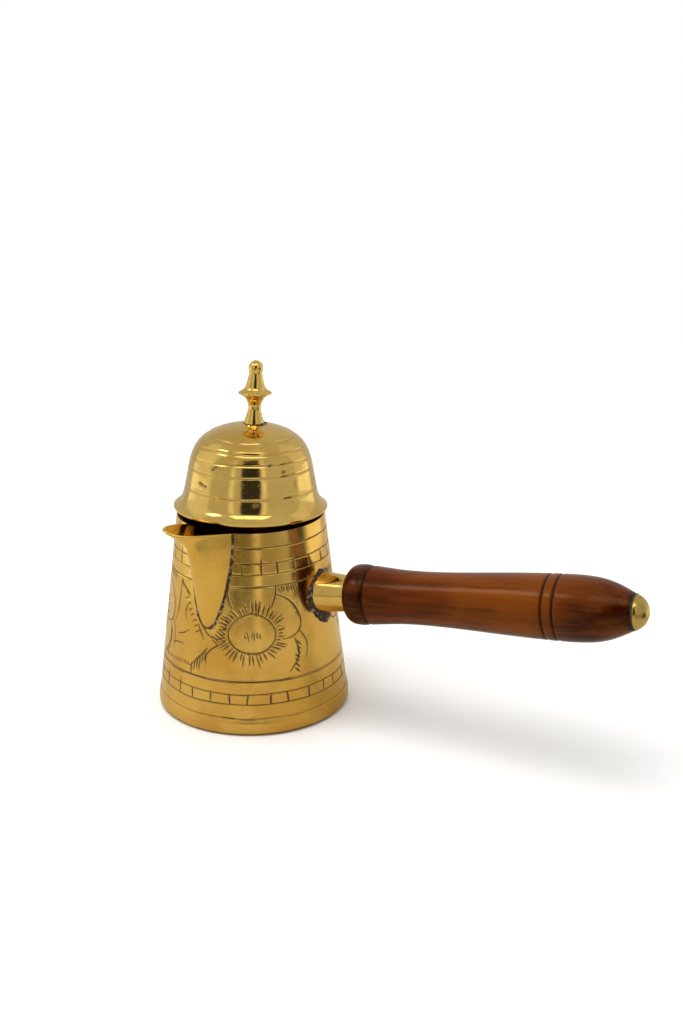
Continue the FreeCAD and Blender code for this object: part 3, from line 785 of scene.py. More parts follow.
def fill_notch_sides(work, grid):
    """The two faces across the sheet along the V, between the outside and inside rows."""
    count = len(wall_heights())
    last = len(grid) - 1
    for side in (0, -1):
        for k in range(count - 1):
            corners = [grid[k][side], grid[k + 1][side], grid[last - k - 1][side], grid[last - k][side]]
            if len(set(corners)) < 3 or grid[k][0] is grid[k][-1]:
                continue
            corners = without_repeats(corners)
            if not any(set(f.verts) == set(corners) for f in corners[0].link_faces):
                work.faces.new(corners)


def refine_near_cuts(work, outer_flag, cuts, levels=2):
    """Splits the edges that a cut passes, so that its walls have points to stand on."""
    for level in range(levels):
        near = []
        for edge in work.edges:
            a, b = edge.verts
            if a[outer_flag] < 0.99 or b[outer_flag] < 0.99:
                continue
            middle = (a.co + b.co) / 2
            distance, _, _ = cuts.near(middle)
            if distance < 0.55 * edge.calc_length() + (0.45 if level == 0 else 0.18):
                near.append(edge)
        bmesh.ops.subdivide_edges(work, edges=near, cuts=1, use_grid_fill=True)


def hand_dents(point, size=17.0, depth=0.07):
    """The slow waviness that hand raising and polishing leave."""
    return depth * ripple(point, size, 3.1) + 0.25 * depth * ripple(point, size / 3, 8.7)


def make_pot_body():
    draw_engraving()
    cuts = Cuts()
    work, outer_flag = make_body_shell()
    refine_near_cuts(work, outer_flag, cuts)
    darkness = work.verts.layers.float.new("cut")
    for vert in work.verts:
        z = vert.co.z
        if vert[outer_flag] < 0.99:
            continue
        flat = Vector((vert.co.x, vert.co.y, 0))
        if z > SKIRT_HEIGHT:
            flat = flat.normalized() * wall_radius(z)
        point = Vector((flat.x, flat.y, z))
        wall_point = flat.normalized() * wall_radius(z)
        move, dark = cuts.at(Vector((wall_point.x, wall_point.y, z)))
        if z < 2.0:
            move, dark = 0.0, 0.0
        lift = move + hand_dents(point) * min(1.0, max(0.0, (POT_HEIGHT - z) / 4))
        vert.co = point + square_to_wall(flat) * lift
        vert[darkness] = dark
    piece = shell_mesh("pot_shell", [], [])
    work.transform(Matrix.Scale(MM, 4))
    bmesh.ops.triangulate(work, faces=[f for f in work.faces if len(f.verts) > 4])
    work.verts.layers.float.remove(work.verts.layers.float["outer"])
    work.to_mesh(piece.data)
    work.free()
    finish_piece(piece, BODY_BRASS, POT_BODY, ["pot_body"], 50.0)


# ---- spout ---------------------------------------------------------------------------------------
def spout_frame(z):
    """Middle angle in degrees, half width and reach past the wall at a height."""
    share = min(max((z - POT_HEIGHT + SPOUT_DROP) / SPOUT_DROP, 0.0), 1.0)
    angle = SPOUT_ANGLE + SPOUT_LEAN * share ** 4
    half_width = SPOUT_HALF_WIDTH * max(share, 0.004) ** 0.47
    reach = SPOUT_REACH * max(share, 0.004) ** 0.72
    return angle, half_width, reach


def spout_point(v, z):
    """A point of the beak's outside: v is -1 at the far seam, 0 at the fold, 1 at the near seam."""
    angle, half_width, reach = spout_frame(z)
    top = POT_HEIGHT + LIP_RISE
    flare = min(max((z - top + LIP_HEIGHT) / LIP_HEIGHT, 0.0), 1.2)
    wall = sqrt(wall_radius(z) ** 2 - half_width ** 2)
    apex = wall_radius(z) + reach
    round_off = min(FOLD_ROUND, 0.45 * half_width) * (0.62 + 0.5 * min(flare, 1.0))
    x = half_width * v
    flat = sqrt(half_width ** 2 + round_off ** 2) - round_off
    rise = (sqrt(x ** 2 + round_off ** 2) - round_off) / flat
    y = apex - (apex - wall) * rise
    belly = SPOUT_BELLY * sin(pi * min(1.0, abs(v))) * min(1.0, half_width / 6)
    y += belly * half_width / sqrt(half_width ** 2 + (apex - wall) ** 2) * 1.2
    x += belly * (1 if v > 0 else -1) * 0.5
    beak = cos(pi / 2 * v) ** 1.8
    y += LIP_FLARE * flare ** 2 * beak
    side = sin(pi * min(1.0, abs(v) ** 0.8))
    x += (LIP_SPREAD_NEAR if v > 0 else LIP_SPREAD_FAR) * flare ** 2 * side
    y += LIP_OUT * flare ** 2 * side
    x += LIP_SWAY * cos(pi / 2 * v) * flare ** 1.5
    turn = radians(angle)
    out = Vector((cos(turn), sin(turn), 0))
    across = Vector((-sin(turn), cos(turn), 0))
    return out * y + across * x + Vector((0, 0, z))


def lip_height_at(v):
    """Height of the beak's top edge across it: level with the rim at the seams, highest past the tip."""
    arch = max(cos(pi / 2 * v), 0.0) ** 1.3
    return POT_HEIGHT + 0.15 + LIP_RISE * (0.6 * arch + 0.45 * max(0.0, sin(-pi * v)))


def make_spout():
    rows, columns = 46, 61
    foot = POT_HEIGHT - SPOUT_DROP + 0.15
    points = []
    for i in range(rows):
        share = (i / (rows - 1)) ** 0.85
        for j in range(columns):
            v = -1 + 2 * j / (columns - 1)
            z = foot + (lip_height_at(v) - foot) * share
            point = spout_point(v, z)
            point += Vector((0.05 * ripple(point, 6, 1.3), 0.05 * ripple(point, 6, 5.1), 0))
            points.append(point)
    piece = shell_mesh("spout_beak", points, grid_faces(rows, columns))
    sheet = piece.modifiers.new("sheet", "SOLIDIFY")
    sheet.thickness = SPOUT_SHEET * MM
    sheet.offset = -1.0
    sheet.use_even_offset = True
    finish_sheet(piece, SPOUT_BRASS, ["spout"])


def finish_sheet(piece, material, nodes):
    """As finish_piece, for an open sheet whose faces must all look away from the pot's axis."""
    work = bmesh.new()
    work.from_mesh(piece.data)
    bmesh.ops.recalc_face_normals(work, faces=work.faces)
    outward = sum(f.normal.dot(Vector((f.calc_center_median().x, f.calc_center_median().y, 0)).normalized())
                  for f in work.faces)
    if outward < 0:
        bmesh.ops.reverse_faces(work, faces=work.faces)
    for face in work.faces:
        face.smooth = True
    work.to_mesh(piece.data)
    work.free()
    smooth = piece.modifiers.new("rounded lip", "SUBSURF")
    smooth.levels = smooth.render_levels = 1
    piece.data.materials.append(material)
    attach(piece, POT_BODY)
    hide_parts(*nodes)


def lumpy_run(name, path, width_at, height_at, sides=12, grit=0.42):
    """A bead of solder laid along a path on the wall, by its half width and height at each point."""
    points = []
    for i, centre in enumerate(path):
        ahead = (path[min(i + 1, len(path) - 1)] - path[max(i - 1, 0)]).normalized()
        up = square_to_wall(centre)
        across = ahead.cross(up).normalized()
        for k in range(sides):
            turn = 2 * pi * k / sides
            spot = centre + across * width_at(i) * cos(turn) + up * height_at(i) * sin(turn)
            rough = 1 + grit * ripple(spot, 1.1, 4.0) + 0.7 * grit * ripple(spot, 0.45, 9.0)
            points.append(centre + (spot - centre) * rough)
    faces = grid_faces(len(path), sides, wrap=True)
    faces.append(list(range(sides)))
    faces.append(list(range(len(points) - sides, len(points))))
    return shell_mesh(name, points, faces)


def spout_seam_path():
    """Along the near seam down to the V's point and up the far seam."""
    foot = POT_HEIGHT - SPOUT_DROP + 0.3
    path = []
    for side in (1, -1):
        heights = np.linspace(POT_HEIGHT - 0.3, foot, 120)
        leg = []
        for z in heights:
            angle, half_width, _ = spout_frame(z)
            offset = degrees(asin(half_width / wall_radius(z))) * side
            leg.append(on_wall(angle + offset, z, 0.12))
        path.append(leg)
    return path[0] + path[1][::-1][1:]


def make_spout_solder():
    path = spout_seam_path()
    count = len(path)

    def share(i):
        return i / (count - 1)

    def width(i):
        t = share(i)
        near = 0.36 + 0.5 * exp(-((t - 0.24) / 0.10) ** 2) + 0.35 * exp(-((t - 0.43) / 0.05) ** 2)
        if t > 0.5:
            near = 0.30 + 0.4 * exp(-((t - 0.60) / 0.07) ** 2)
        return near * (1 + 0.75 * ripple((t * 60, 0.3, 0), 1.0, 2.0))

    def height(i):
        return 0.20 + 0.12 * ripple((share(i) * 70, 2.0, 0), 1.0, 6.0)

    piece = lumpy_run("spout_seam", path, width, height)
    finish_piece(piece, SOLDER, POT_BODY, ["spout_solder"], 60.0)


# ---- handle --------------------------------------------------------------------------------------
def socket_radius(s):
    return SOCKET_FOOT_RADIUS + (SOCKET_END_RADIUS - SOCKET_FOOT_RADIUS) * (s - HANDLE_S0) / SOCKET_LENGTH


def make_socket():
    s0, s1 = HANDLE_S0 - 0.9, GRIP_START
    outer = [(socket_radius(s0 + (s1 - s0) * k / 10), s0 + (s1 - s0) * k / 10) for k in range(10)]
    rim = [(socket_radius(s1) - 0.02, s1 - 0.2), (socket_radius(s1) - 0.18, s1)]
    inner = [(socket_radius(s1) - SOCKET_SHEET, s1), (socket_radius(s0) - SOCKET_SHEET, s0)]

    def worn(angle, radius, z, point):
        point.x *= 1 + 0.006 * ripple_round(angle, 2, z / 6, 1.0)
        point.y *= 1 + 0.006 * ripple_round(angle, 2, z / 6, 5.0)
        return point

    piece = turned("socket_tube", outer + rim + inner, ALONG_HANDLE, 72, worn)
    finish_piece(piece, TURNED_BRASS, POT_BODY, ["handle_socket"], 40.0)


def make_socket_solder():
    """The ring that holds the socket: thin on top, a heavy blob below, lumpy all round."""
    around, across = 140, 12
    points = []
    for i in range(around):
        turn = 2 * pi * i / around
        off_bottom = (turn + pi) % (2 * pi) - pi
        below = exp(-(off_bottom / 0.75) ** 2)
        spread = 1.9 + 2.6 * below + 1.1 * exp(-((abs(off_bottom) - pi / 2) / 0.55) ** 2)
        spread *= 1 + 0.22 * ripple_round(turn, 3, 0, 7.0)
        tall = 0.75 + 0.8 * below + 0.2 * ripple_round(turn, 4, 3, 2.0)
        for k in range(across):
            share = k / (across - 1)
            ring = socket_radius(HANDLE_S0) - 0.35 + (spread + 0.35) * share
            height = tall * (1 - share) ** 1.35 - 0.25 * share
            x, y = ring * cos(turn), ring * sin(turn)
            spot = ALONG_HANDLE @ Vector((x, y, HANDLE_S0))
            lump = 0.34 * ripple(spot, 1.3, 3.0) + 0.2 * ripple(spot, 0.55, 6.0)
            height += lump * (0.35 + 0.65 * (1 - share))
            flat = Vector((spot.x, spot.y, 0))
            depth = flat.length - wall_radius(spot.z)
            points.append(ALONG_HANDLE @ Vector((x, y, HANDLE_S0 + height - depth)))
        for k in (across - 1, 0):
            ring = socket_radius(HANDLE_S0) - 0.35 + (spread + 0.35) * k / (across - 1)
            x, y = ring * cos(turn), ring * sin(turn)
            spot = ALONG_HANDLE @ Vector((x, y, HANDLE_S0))
            depth = Vector((spot.x, spot.y, 0)).length - wall_radius(spot.z)
            points.append(ALONG_HANDLE @ Vector((x, y, HANDLE_S0 - 0.7 - depth)))
    faces = grid_faces(around, across + 2, wrap=True, ring=True)
    piece = shell_mesh("socket_ring", points, faces)
    finish_piece(piece, SOLDER, POT_BODY, ["socket_solder"], 60.0)


def grip_outline():
    """(radius, s) of the grip's outside from the bead's face to the cap end."""
    bead_end = GRIP_START + BEAD_LENGTH
    length = GRIP_END - bead_end
    swell = SWELL_RADIUS - WAIST_RADIUS
    face = [(SOCKET_END_RADIUS - SOCKET_SHEET, GRIP_START), (SOCKET_END_RADIUS + 1.2, GRIP_START)]
    bead = [(SOCKET_END_RADIUS + 2.2, GRIP_START + 0.2), (BEAD_RADIUS - 0.95, GRIP_START + 0.9),
            (BEAD_RADIUS - 0.25, GRIP_START + 2.1), (BEAD_RADIUS, GRIP_START + 0.5 * BEAD_LENGTH),
            (BEAD_RADIUS - 0.22, bead_end - 0.16 * BEAD_LENGTH), (GROOVE_RADIUS + 0.35, bead_end - 0.45),
            (GROOVE_RADIUS, bead_end)]
    shape = [(WAIST_RADIUS + 0.95, bead_end + 0.5), (WAIST_RADIUS + 0.62, bead_end + 0.05 * length),
             (WAIST_RADIUS + 0.2, bead_end + 0.11 * length), (WAIST_RADIUS, bead_end + 0.235 * length),
             (WAIST_RADIUS + swell / 3, bead_end + 0.42 * length),
             (SWELL_RADIUS - swell / 5, bead_end + 0.6 * length), (SWELL_RADIUS, bead_end + 0.765 * length),
             (SWELL_RADIUS - 0.85, bead_end + 0.893 * length),
             (SWELL_RADIUS - 1.9, bead_end + 0.934 * length),
             (CAP_RADIUS + 0.3, GRIP_END)]
    return face, smooth_curve(bead, 0.3), smooth_curve(shape, 0.4)


def cut_burnt_grooves(outline):
    """Adds the close rows of the two burnt rings and sinks them."""
    out = []
    marks = [GRIP_END - place for place in BURNT_PLACES]
    for (r0, s0), (r1, s1) in zip(outline, outline[1:]):
        steps = 4 if any(abs((s0 + s1) / 2 - m) < 1.6 for m in marks) else 1
        for k in range(steps):
            t = k / steps
            out.append((r0 + (r1 - r0) * t, s0 + (s1 - s0) * t))
    out.append(outline[-1])
    return [(r - BURNT_DEPTH * max(exp(-((s - m) / 0.42) ** 2) for m in marks), s) for r, s in out]


def make_grip():
    face, bead, shape = grip_outline()
    back = [(CAP_RADIUS - 1.8, GRIP_END), (ROD_BORE, GRIP_END - 5), (ROD_BORE, HANDLE_S0 + 3.0),
            (SOCKET_END_RADIUS - SOCKET_SHEET - 0.1, HANDLE_S0 + 3.0)]

    def used(angle, radius, z, point):
        if radius > 5 and GRIP_START < z < GRIP_END:
            wear = 1 + 0.004 * ripple_round(angle, 1.5, z / 14, 2.0)
            point.x *= wear
            point.y *= wear
        return point

    piece = turned("grip_wood", face + bead + cut_burnt_grooves(shape) + back, ALONG_HANDLE, 96, used)
    finish_piece(piece, WOOD, POT_BODY, ["handle_grip"], 30.0)
    paint_grip(piece)


def paint_grip(piece):
    """Where the wood is burnt black, where the darker stain has gathered, and painted shade on the lower
    front side near the cap end, as mesh attributes.
    """
    burnt = piece.data.attributes.new("burnt", "FLOAT", "POINT")
    stain_and_shade = piece.data.attributes.new("stain_and_shade", "FLOAT", "POINT")
    back = ALONG_HANDLE.inverted()
    marks = [GRIP_END - place for place in BURNT_PLACES]
    bead_end = GRIP_START + BEAD_LENGTH
    for vert in piece.data.vertices:
        spot = back @ (vert.co / MM)
        s = spot.z
        angle = atan2(spot.y, spot.x)
        dark = max(exp(-((s - m) / 0.36) ** 2) for m in marks)
        dark = max(dark, 0.9 * exp(-((s - bead_end - 0.1) / 0.45) ** 2))
        dark = max(dark, 0.75 * exp(-((s - GRIP_END) / 0.8) ** 2))
        burnt.data[vert.index].value = min(1.0, dark)
        red = 0.95 if s < bead_end else 0.42 * exp(-(s - bead_end) / 14)
        red += 0.75 * max(0.0, ripple_round(angle, 1.2, s / 18, 4.0))
        # painted shade: darker on the lower front side near the cap end, the side turned away from the
        # light
        red += 0.3 * exp(-((s - GRIP_END + 14) / 9) ** 2) * max(0.0, cos(angle + 0.9))
        red += 0.75 * max(0.0, 1 - abs(s - GRIP_END) / 30)
        stain_and_shade.data[vert.index].value = min(1.0, max(0.0, red))


def make_cap():
    dome = [(CAP_RADIUS, CAP_BASE), (CAP_RADIUS, CAP_BASE + 0.25)]
    dome += ball_top(CAP_RADIUS - 0.02, CAP_BASE + 0.3, CAP_BASE + CAP_HEIGHT, 14)
    inside = [(0.0, CAP_BASE - 4.4), (3.3, CAP_BASE - 4.4), (3.3, CAP_BASE)]

    def rubbed(angle, radius, z, point):
        point.z += 0.04 * ripple(point, 3.0, 2.0)
        return point

    piece = turned("cap_nut", dome + inside, ALONG_HANDLE, 64, rubbed)
    finish_piece(piece, CAP_BRASS, POT_BODY, ["handle_cap"], 40.0)


# ---- lid -----------------------------------------------------------------------------------------
def bell_outline():
    shape = [(1.0, 0.032), (0.909, 0.11), (0.869, 0.206), (0.833, 0.363), (0.798, 0.53),
             (0.726, 0.72), (0.627, 0.83), (0.417, 0.933), (0.206, 0.982), (0.0, 1.0)]
    curve = smooth_curve([(r * LID_RADIUS, LID_BASE + h * LID_HEIGHT) for r, h in shape], 0.45)
    dense = []
    for (r0, z0), (r1, z1) in zip(curve, curve[1:]):
        close = any(abs((z0 + z1) / 2 - LID_BASE - ring) < 0.7 for ring in LID_RINGS)
        steps = 3 if close else 1
        dense += [(r0 + (r1 - r0) * k / steps, z0 + (z1 - z0) * k / steps) for k in range(steps)]
    return dense + [curve[-1]]


def outline_normals(outline):
    p = np.array(outline)
    along = np.gradient(p, axis=0)
    along /= np.maximum(np.linalg.norm(along, axis=1), 1e-9)[:, None]
    return np.stack([along[:, 1], -along[:, 0]], axis=1)


LID_PITS = ((-96, 16.3), (-93, 17.0), (-107, 10.9), (-103, 10.6), (-110, 11.2), (-41, 18.2), (-28, 15.9),
            (-55, 6.2), (150, 14.0), (70, 19.0), (20, 10.5), (118, 9.0), (-150, 20.5))


def lid_surface_move(angle, height):
    """Sink of the lid's rings and pits at an angle and a height over its edge, and its darkness."""
    turn = degrees(angle)
    sink, dark = 0.0, 0.0
    for k, ring in enumerate(LID_RINGS):
        wander = 0.12 * sin(angle * 2 + k * 1.7) + 0.06 * sin(angle * 5 + k)
        gap = (height - ring - wander) / 0.30
        sink -= 0.16 * exp(-gap ** 2)
        sink += 0.06 * exp(-(gap - 2.0) ** 2)
        strength = 0.75 + 0.25 * sin(angle * 3 + 2 * k)
        dark = max(dark, 0.38 * strength * exp(-(gap / 0.65) ** 2))
    for pit_turn, pit_height in LID_PITS:
        across = radians((turn - pit_turn + 180) % 360 - 180) * 20
        far = (across / 0.75) ** 2 + ((height - pit_height) / 0.42) ** 2
        if far < 6:
            sink -= 0.12 * exp(-far)
            dark = max(dark, min(1.0, 1.15 * exp(-far)))
    return sink, dark


def make_lid_bell():
    outer = bell_outline()
    normals = outline_normals(outer)
    inner = [(r - LID_SHEET * nr, z - LID_SHEET * nz)
             for (r, z), (nr, nz) in zip(outer[1:-1:3], normals[1:-1:3])]
    hole = STUD_RADIUS + 0.05
    outer = [(r, z) for r, z in outer if r > hole + 0.2] + [(hole, LID_CROWN - 0.01)]
    inner = [(max(r, hole), z) for r, z in inner if r > hole + 0.2] + [(hole, LID_CROWN - LID_SHEET)]
    edge = [(LID_RADIUS - LID_SHEET - 0.15, LID_BASE + 0.75), (LID_RADIUS - 0.6, LID_BASE + 0.05),
            (LID_RADIUS - 0.35, LID_BASE), (LID_RADIUS - 0.1, LID_BASE + 0.2),
            (LID_RADIUS - 0.01, LID_BASE + 0.5)]
    outline = edge + outer + inner[::-1]
    count = len(edge) + len(outer)
    normals = outline_normals(outline)
    index = {(round(r, 5), round(z, 5)): k for k, (r, z) in enumerate(outline)}

    def worked(angle, radius, z, point):
        k = index[(round(radius, 5), round(z, 5))]
        if k >= count:
            return point
        sink, _ = lid_surface_move(angle, z - LID_BASE) if k >= len(edge) else (0.0, 0.0)
        sink += 0.8 * hand_dents(point, 14.0, 0.055)
        nr, nz = normals[k]
        return point + Vector((cos(angle) * nr, sin(angle) * nr, nz)) * sink

    piece = turned("lid_bell", outline, LID_AT_REST, 256, worked)
    finish_piece(piece, LID_BRASS, LID_BODY, ["lid_dome"], 45.0)
    darkness = piece.data.attributes.new("cut", "FLOAT", "POINT")
    back = LID_AT_REST.inverted()
    for vert in piece.data.vertices:
        spot = back @ (vert.co / MM)
        _, dark = lid_surface_move(atan2(spot.y, spot.x), spot.z - LID_BASE)
        darkness.data[vert.index].value = dark


def make_finial():
    stem = [(FINIAL_FOOT + 0.25, 0.0), (2.65, 0.11), (2.15, 0.19), (2.05, 0.26), (2.45, 0.33),
            (2.95, 0.375), (FINIAL_FLANGE - 0.7, 0.443)]
    flange = [(FINIAL_FLANGE - 0.1, 0.456), (FINIAL_FLANGE, 0.466), (FINIAL_FLANGE - 0.08, 0.478)]
    neck = [(FINIAL_FLANGE - 0.5, 0.488), (3.7, 0.525), (2.65, 0.65), (2.05, 0.775)]
    knob_foot = FINIAL_TOP - FINIAL_KNOB * 1.35
    knob = [(2.1, knob_foot - 0.55), (FINIAL_KNOB - 0.1, knob_foot - 0.1)]
    knob += ball_top(FINIAL_KNOB, knob_foot + 0.5, FINIAL_TOP, 16)

    def rise(pairs, step):
        return smooth_curve([(r, LID_CROWN + share * FINIAL_HEIGHT) for r, share in pairs], step)

    base = [(0.0, LID_CROWN - 4.6), (STUD_RADIUS, LID_CROWN - 4.6), (STUD_RADIUS, LID_CROWN - 0.3)]
    outline = base + rise(stem, 0.35) + rise(flange, 0.15) + rise(neck, 0.35)[1:] + knob

    def leaning(angle, radius, z, point):
        share = max(0.0, (z - LID_CROWN) / FINIAL_HEIGHT)
        if z > LID_CROWN - 0.5:
            point += FINIAL_SHIFT * (1 + 0.7 * share)
        groove = 0.12 * exp(-((z - LID_CROWN - 0.10 * FINIAL_HEIGHT) / 0.22) ** 2)
        wave = 1 - groove / max(radius, 1) + 0.006 * ripple(point, 2.2, 1.0)
        point.x *= wave
        point.y *= wave
        return point

    piece = turned("finial_turning", outline, LID_AT_REST, 72, leaning, closed=False)
    finish_piece(piece, TURNED_BRASS, LID_BODY, ["lid_finial"], 40.0)


def make_finial_solder():
    """The dark ring round the finial's foot, wider to one side."""
    around, across = 80, 9
    points = []
    for i in range(around):
        turn = 2 * pi * i / around
        spread = 1.0 + 0.6 * ripple_round(turn, 2, 0, 5.5) + 0.35 * cos(turn - 1.2)
        for k in range(across):
            share = k / (across - 1)
            ring = FINIAL_FOOT - 0.3 + (max(0.5, spread) + 0.3) * share
            crown = LID_CROWN - 0.018 * ring ** 2 - 0.02
            height = 0.7 * (1 - share) ** 1.3 - 0.12 * share
            spot = Vector((ring * cos(turn), ring * sin(turn), crown + height))
            spot.z += (0.3 * ripple(spot, 1.0, 2.5) + 0.15 * ripple(spot, 0.4, 7.5)) * (1 - 0.6 * share)
            points.append(LID_AT_REST @ (spot + FINIAL_SHIFT))
        for k in (across - 1, 0):
            ring = FINIAL_FOOT - 0.3 + (max(0.5, spread) + 0.3) * k / (across - 1)
            crown = LID_CROWN - 0.018 * ring ** 2 - 0.6
            spot = Vector((ring * cos(turn), ring * sin(turn), crown))
            points.append(LID_AT_REST @ (spot + FINIAL_SHIFT))
    faces = grid_faces(around, across + 2, wrap=True, ring=True)
    piece = shell_mesh("finial_ring", points, faces)
    finish_piece(piece, SOLDER, LID_BODY, ["finial_solder"], 60.0)


# ---- the nodes that keep their own shape ---------------------------------------------------------
def give_finish(node, material):
    piece = frame["nodes"][node]
    piece.data.materials.clear()
    piece.data.materials.append(material)
    for polygon in piece.data.polygons:
        polygon.use_smooth = False
        polygon.material_index = 0


def finish_kept_nodes():
    for node, material in (
            ("base_disc", BODY_BRASS), ("base_solder", SOLDER), ("socket_plug", TURNED_BRASS),
            ("handle_rod", STEEL), ("cap_washer", WASHER), ("lid_collar", SHADED_TARNISHED_BRASS),
            ("finial_washer", TURNED_BRASS), ("finial_nut", TURNED_BRASS),
            ("hinge_body_leaf", HINGE_BRASS), ("hinge_lid_leaf", HINGE_BRASS), ("hinge_pin", HINGE_BRASS)):
        give_finish(node, material)


# ---- floor, light and camera ---------------------------------------------------------------------
CAMERA_TURN = 31.29             # degrees round the pot from the spout's side towards the handle
CAMERA_AWAY = 446.7
CAMERA_HEIGHT = 211.4
CAMERA_YAW, CAMERA_PITCH, CAMERA_ROLL = 0.06691, 0.31559, 0.00204
CAMERA_LENS = 49.98
LAMP_AIM = Vector((0, 0, 0.03))
LAMPS = (       # size in metres, watts, and degrees round from the viewer, distance and height
    ("overhead", (0.58, 0.58), 4.7, (-70, 0.16, 0.92)),
    ("left box", (0.35, 0.5), 0.8, (-80, 0.8, 0.45)),
    ("right box", (0.3, 0.5), 0.6, (75, 0.9, 0.45)),
    ("back box", (0.7, 0.3), 0.8, (180, 0.9, 0.6)))
# What the brass mirrors. Angles are in radians: centre and half width round from behind the viewer,
# + to the right, then bottom and top over the horizon.
SHADES = ((1.25, 0.25, 0.85), (-0.41, 0.07, 0.7), (-0.17, 0.15, 0.42))       # below it, with their depths
GLOWS = (       # each with its gain
    (0.14, 0.08, -0.6, -0.02, 1.1), (-0.60, 0.07, 0.05, 0.70, 0.7), (0.42, 0.06, 0.05, 0.70, 0.7),
    (0.0, 0.80, 0.90, 1.25, 3.0), (-1.42, 0.24, 0.76, 0.93, 9.0), (1.95, 0.35, -0.5, 0.0, 1.2),
    (1.9, 0.35, 0.0, 0.9, 0.35), (-1.8, 0.45, -0.5, 0.0, 1.1), (-1.8, 0.45, 0.0, 0.9, 0.45))


def make_camera():
    data = bpy.data.cameras.new("viewer")
    data.lens = CAMERA_LENS
    data.sensor_width = 36.0
    data.clip_start, data.clip_end = 0.01, 20.0
    viewer = bpy.data.objects.new("viewer", data)
    bpy.context.scene.collection.objects.link(viewer)
    ahead = Vector((sin(CAMERA_YAW) * cos(CAMERA_PITCH), cos(CAMERA_YAW) * cos(CAMERA_PITCH),
                    -sin(CAMERA_PITCH)))
    right = Vector((cos(CAMERA_YAW), -sin(CAMERA_YAW), 0))
    up = right.cross(ahead)
    right, up = (right * cos(CAMERA_ROLL) + up * sin(CAMERA_ROLL),
                 up * cos(CAMERA_ROLL) - right * sin(CAMERA_ROLL))
    look = Matrix((right, up, -ahead)).transposed().to_4x4()
    around = Matrix.Rotation(radians(CAMERA_TURN), 4, "Z")
    stand = Matrix.Translation(Vector((0, -CAMERA_AWAY, CAMERA_HEIGHT)) * MM)
    viewer.matrix_world = around @ stand @ look
    bpy.context.scene.camera = viewer


def make_floor():
    """A pale table top. To glossy rays its colour is painted darker: painted shade in the brass's
    reflection of it. The brass mirrors only the sheet near the pot, and the dim room past its edge.
    """
    material, n, shader, place = new_material("pale floor")
    painted_shade_in_reflections = n.add("ShaderNodeLightPath").outputs["Is Glossy Ray"]
    away = n.add("ShaderNodeVectorMath", operation="LENGTH")
    n.link(place, away.inputs[0])
    paper = n.mix(n.noise(place, 6.0, 2.0), (0.865, 0.865, 0.865, 1), (0.88, 0.88, 0.88, 1))
    paper = n.mix(n.ramp(away.outputs["Value"], 0.20, 0.50), paper, (1, 1, 1, 1))
    # painted shade: glossy rays see a darker floor colour, so the brass mirrors a floor in shade
    n.link(n.mix(painted_shade_in_reflections, paper, (0.54, 0.51, 0.46, 1)), shader.inputs["Base Color"])
    shader.inputs["Roughness"].default_value = 0.9
    shader.inputs["Specular IOR Level"].default_value = 0.1
    columns = 96
    for name, radii in (("floor", (0.0, 80.0, 170.0, 270.0)), ("floor_far", (270.0, 380.0, 500.0, 620.0))):
        points = [(radius * cos(2 * pi * k / columns), radius * sin(2 * pi * k / columns), 0)
                  for radius in radii for k in range(columns)]
        floor = shell_mesh(name, points, grid_faces(len(radii), columns, wrap=True))
        work = bmesh.new()
        work.from_mesh(floor.data)
        bmesh.ops.remove_doubles(work, verts=work.verts, dist=1e-6)
        bmesh.ops.recalc_face_normals(work, faces=work.faces)
        work.to_mesh(floor.data)
        work.free()
        floor.data.materials.append(material)
        floor.visible_glossy = name == "floor"


def soft_light(name, size, power, place):
    data = bpy.data.lights.new(name, "AREA")
    data.shape = "RECTANGLE"
    data.size, data.size_y = size
    data.energy = power
    lamp = bpy.data.objects.new(name, data)
    bpy.context.scene.collection.objects.link(lamp)
    lamp.location = place
    way = LAMP_AIM - Vector(place)
    lamp.rotation_euler = way.to_track_quat("-Z", "Y").to_euler()
    lamp.visible_camera = False
    lamp.visible_glossy = False


def viewer_side(turn, away, height):
    """A place given by degrees round from the viewer (to the viewer's right) and distance, in metres."""
    angle = radians(CAMERA_TURN - 90 + turn)
    return (away * cos(angle), away * sin(angle), height)


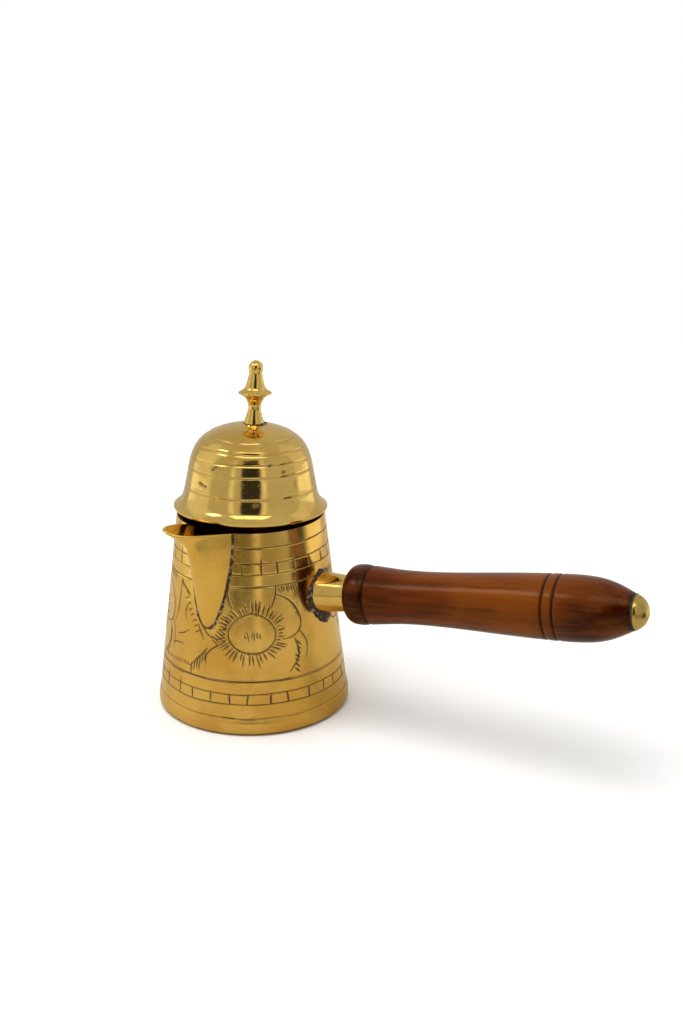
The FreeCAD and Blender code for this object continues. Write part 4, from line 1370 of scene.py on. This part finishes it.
def make_room():
    """White to the eye; to the brass, a bright tent with a darker room behind the viewer."""
    world = bpy.data.worlds.new("studio")
    bpy.context.scene.world = world
    world.use_nodes = True
    world.node_tree.nodes.clear()
    n = Nodes(world.node_tree)
    where = n.add("ShaderNodeTexCoord").outputs["Generated"]
    spun = n.add("ShaderNodeVectorRotate", rotation_type="Z_AXIS")
    n.link(where, spun.inputs["Vector"])
    spun.inputs["Angle"].default_value = -radians(CAMERA_TURN)
    split = n.add("ShaderNodeSeparateXYZ")
    n.link(spun.outputs[0], split.inputs[0])
    x, y, z = split.outputs
    side = n.math("ARCTAN2", x, n.math("MULTIPLY", y, -1.0))        # 0 behind the viewer, + to the right
    tilt = n.math("ARCSINE", z)
    around = n.math("ABSOLUTE", side)

    def band(centre, half, edge=0.05):
        away = n.math("ABSOLUTE", n.math("SUBTRACT", side, centre))
        return n.ramp(away, half + edge, half - edge)

    def dim(light, mask, depth):
        return n.math("MULTIPLY", light, n.math("SUBTRACT", 1.0, n.math("MULTIPLY", mask, depth)))

    low = n.ramp(tilt, -0.01, -0.05)
    light = n.ramp(tilt, -0.35, 1.1, 0.60, 0.62)
    behind = n.math("MULTIPLY", n.ramp(around, 1.25, 0.45), n.ramp(tilt, 0.10, -0.04))
    light = dim(light, behind, 0.36)
    upright = n.math("MULTIPLY", n.ramp(tilt, 0.80, 0.70), n.ramp(tilt, 0.01, 0.05))
    light = dim(light, n.math("MULTIPLY", band(0.0, 0.30), upright), 0.92)
    for centre, half, depth in SHADES:
        light = dim(light, n.math("MULTIPLY", band(centre, half), low), depth)
    for centre, half, bottom, top, gain in GLOWS:
        tall = n.math("MULTIPLY", n.ramp(tilt, bottom - 0.04, bottom + 0.04),
                      n.ramp(tilt, top + 0.05, top - 0.05))
        glow = n.math("MULTIPLY", band(centre, half, 0.06), tall)
        light = n.math("MULTIPLY_ADD", glow, gain * 0.5, light)
    back = n.add("ShaderNodeBackground")
    n.link(light, back.inputs["Strength"])
    back.inputs["Color"].default_value = (1.0, 0.985, 0.96, 1)
    white = n.add("ShaderNodeBackground")
    white.inputs["Color"].default_value = (1, 1, 1, 1)
    white.inputs["Strength"].default_value = 1.0
    path = n.add("ShaderNodeLightPath")
    either = n.add("ShaderNodeMixShader")
    n.link(path.outputs["Is Camera Ray"], either.inputs[0])
    n.link(back.outputs[0], either.inputs[1])
    n.link(white.outputs[0], either.inputs[2])
    n.link(either.outputs[0], n.add("ShaderNodeOutputWorld").inputs[0])


def make_lights():
    for name, size, power, place in LAMPS:
        soft_light(name, size, power, viewer_side(*place))


make_camera()
make_floor()
make_room()
make_lights()
make_pot_body()
make_spout()
make_spout_solder()
make_socket()
make_socket_solder()
make_grip()
make_cap()
make_lid_bell()
make_finial()
make_finial_solder()
finish_kept_nodes()
view = bpy.context.scene.view_settings
view.view_transform, view.gamma = "Standard", 0.9
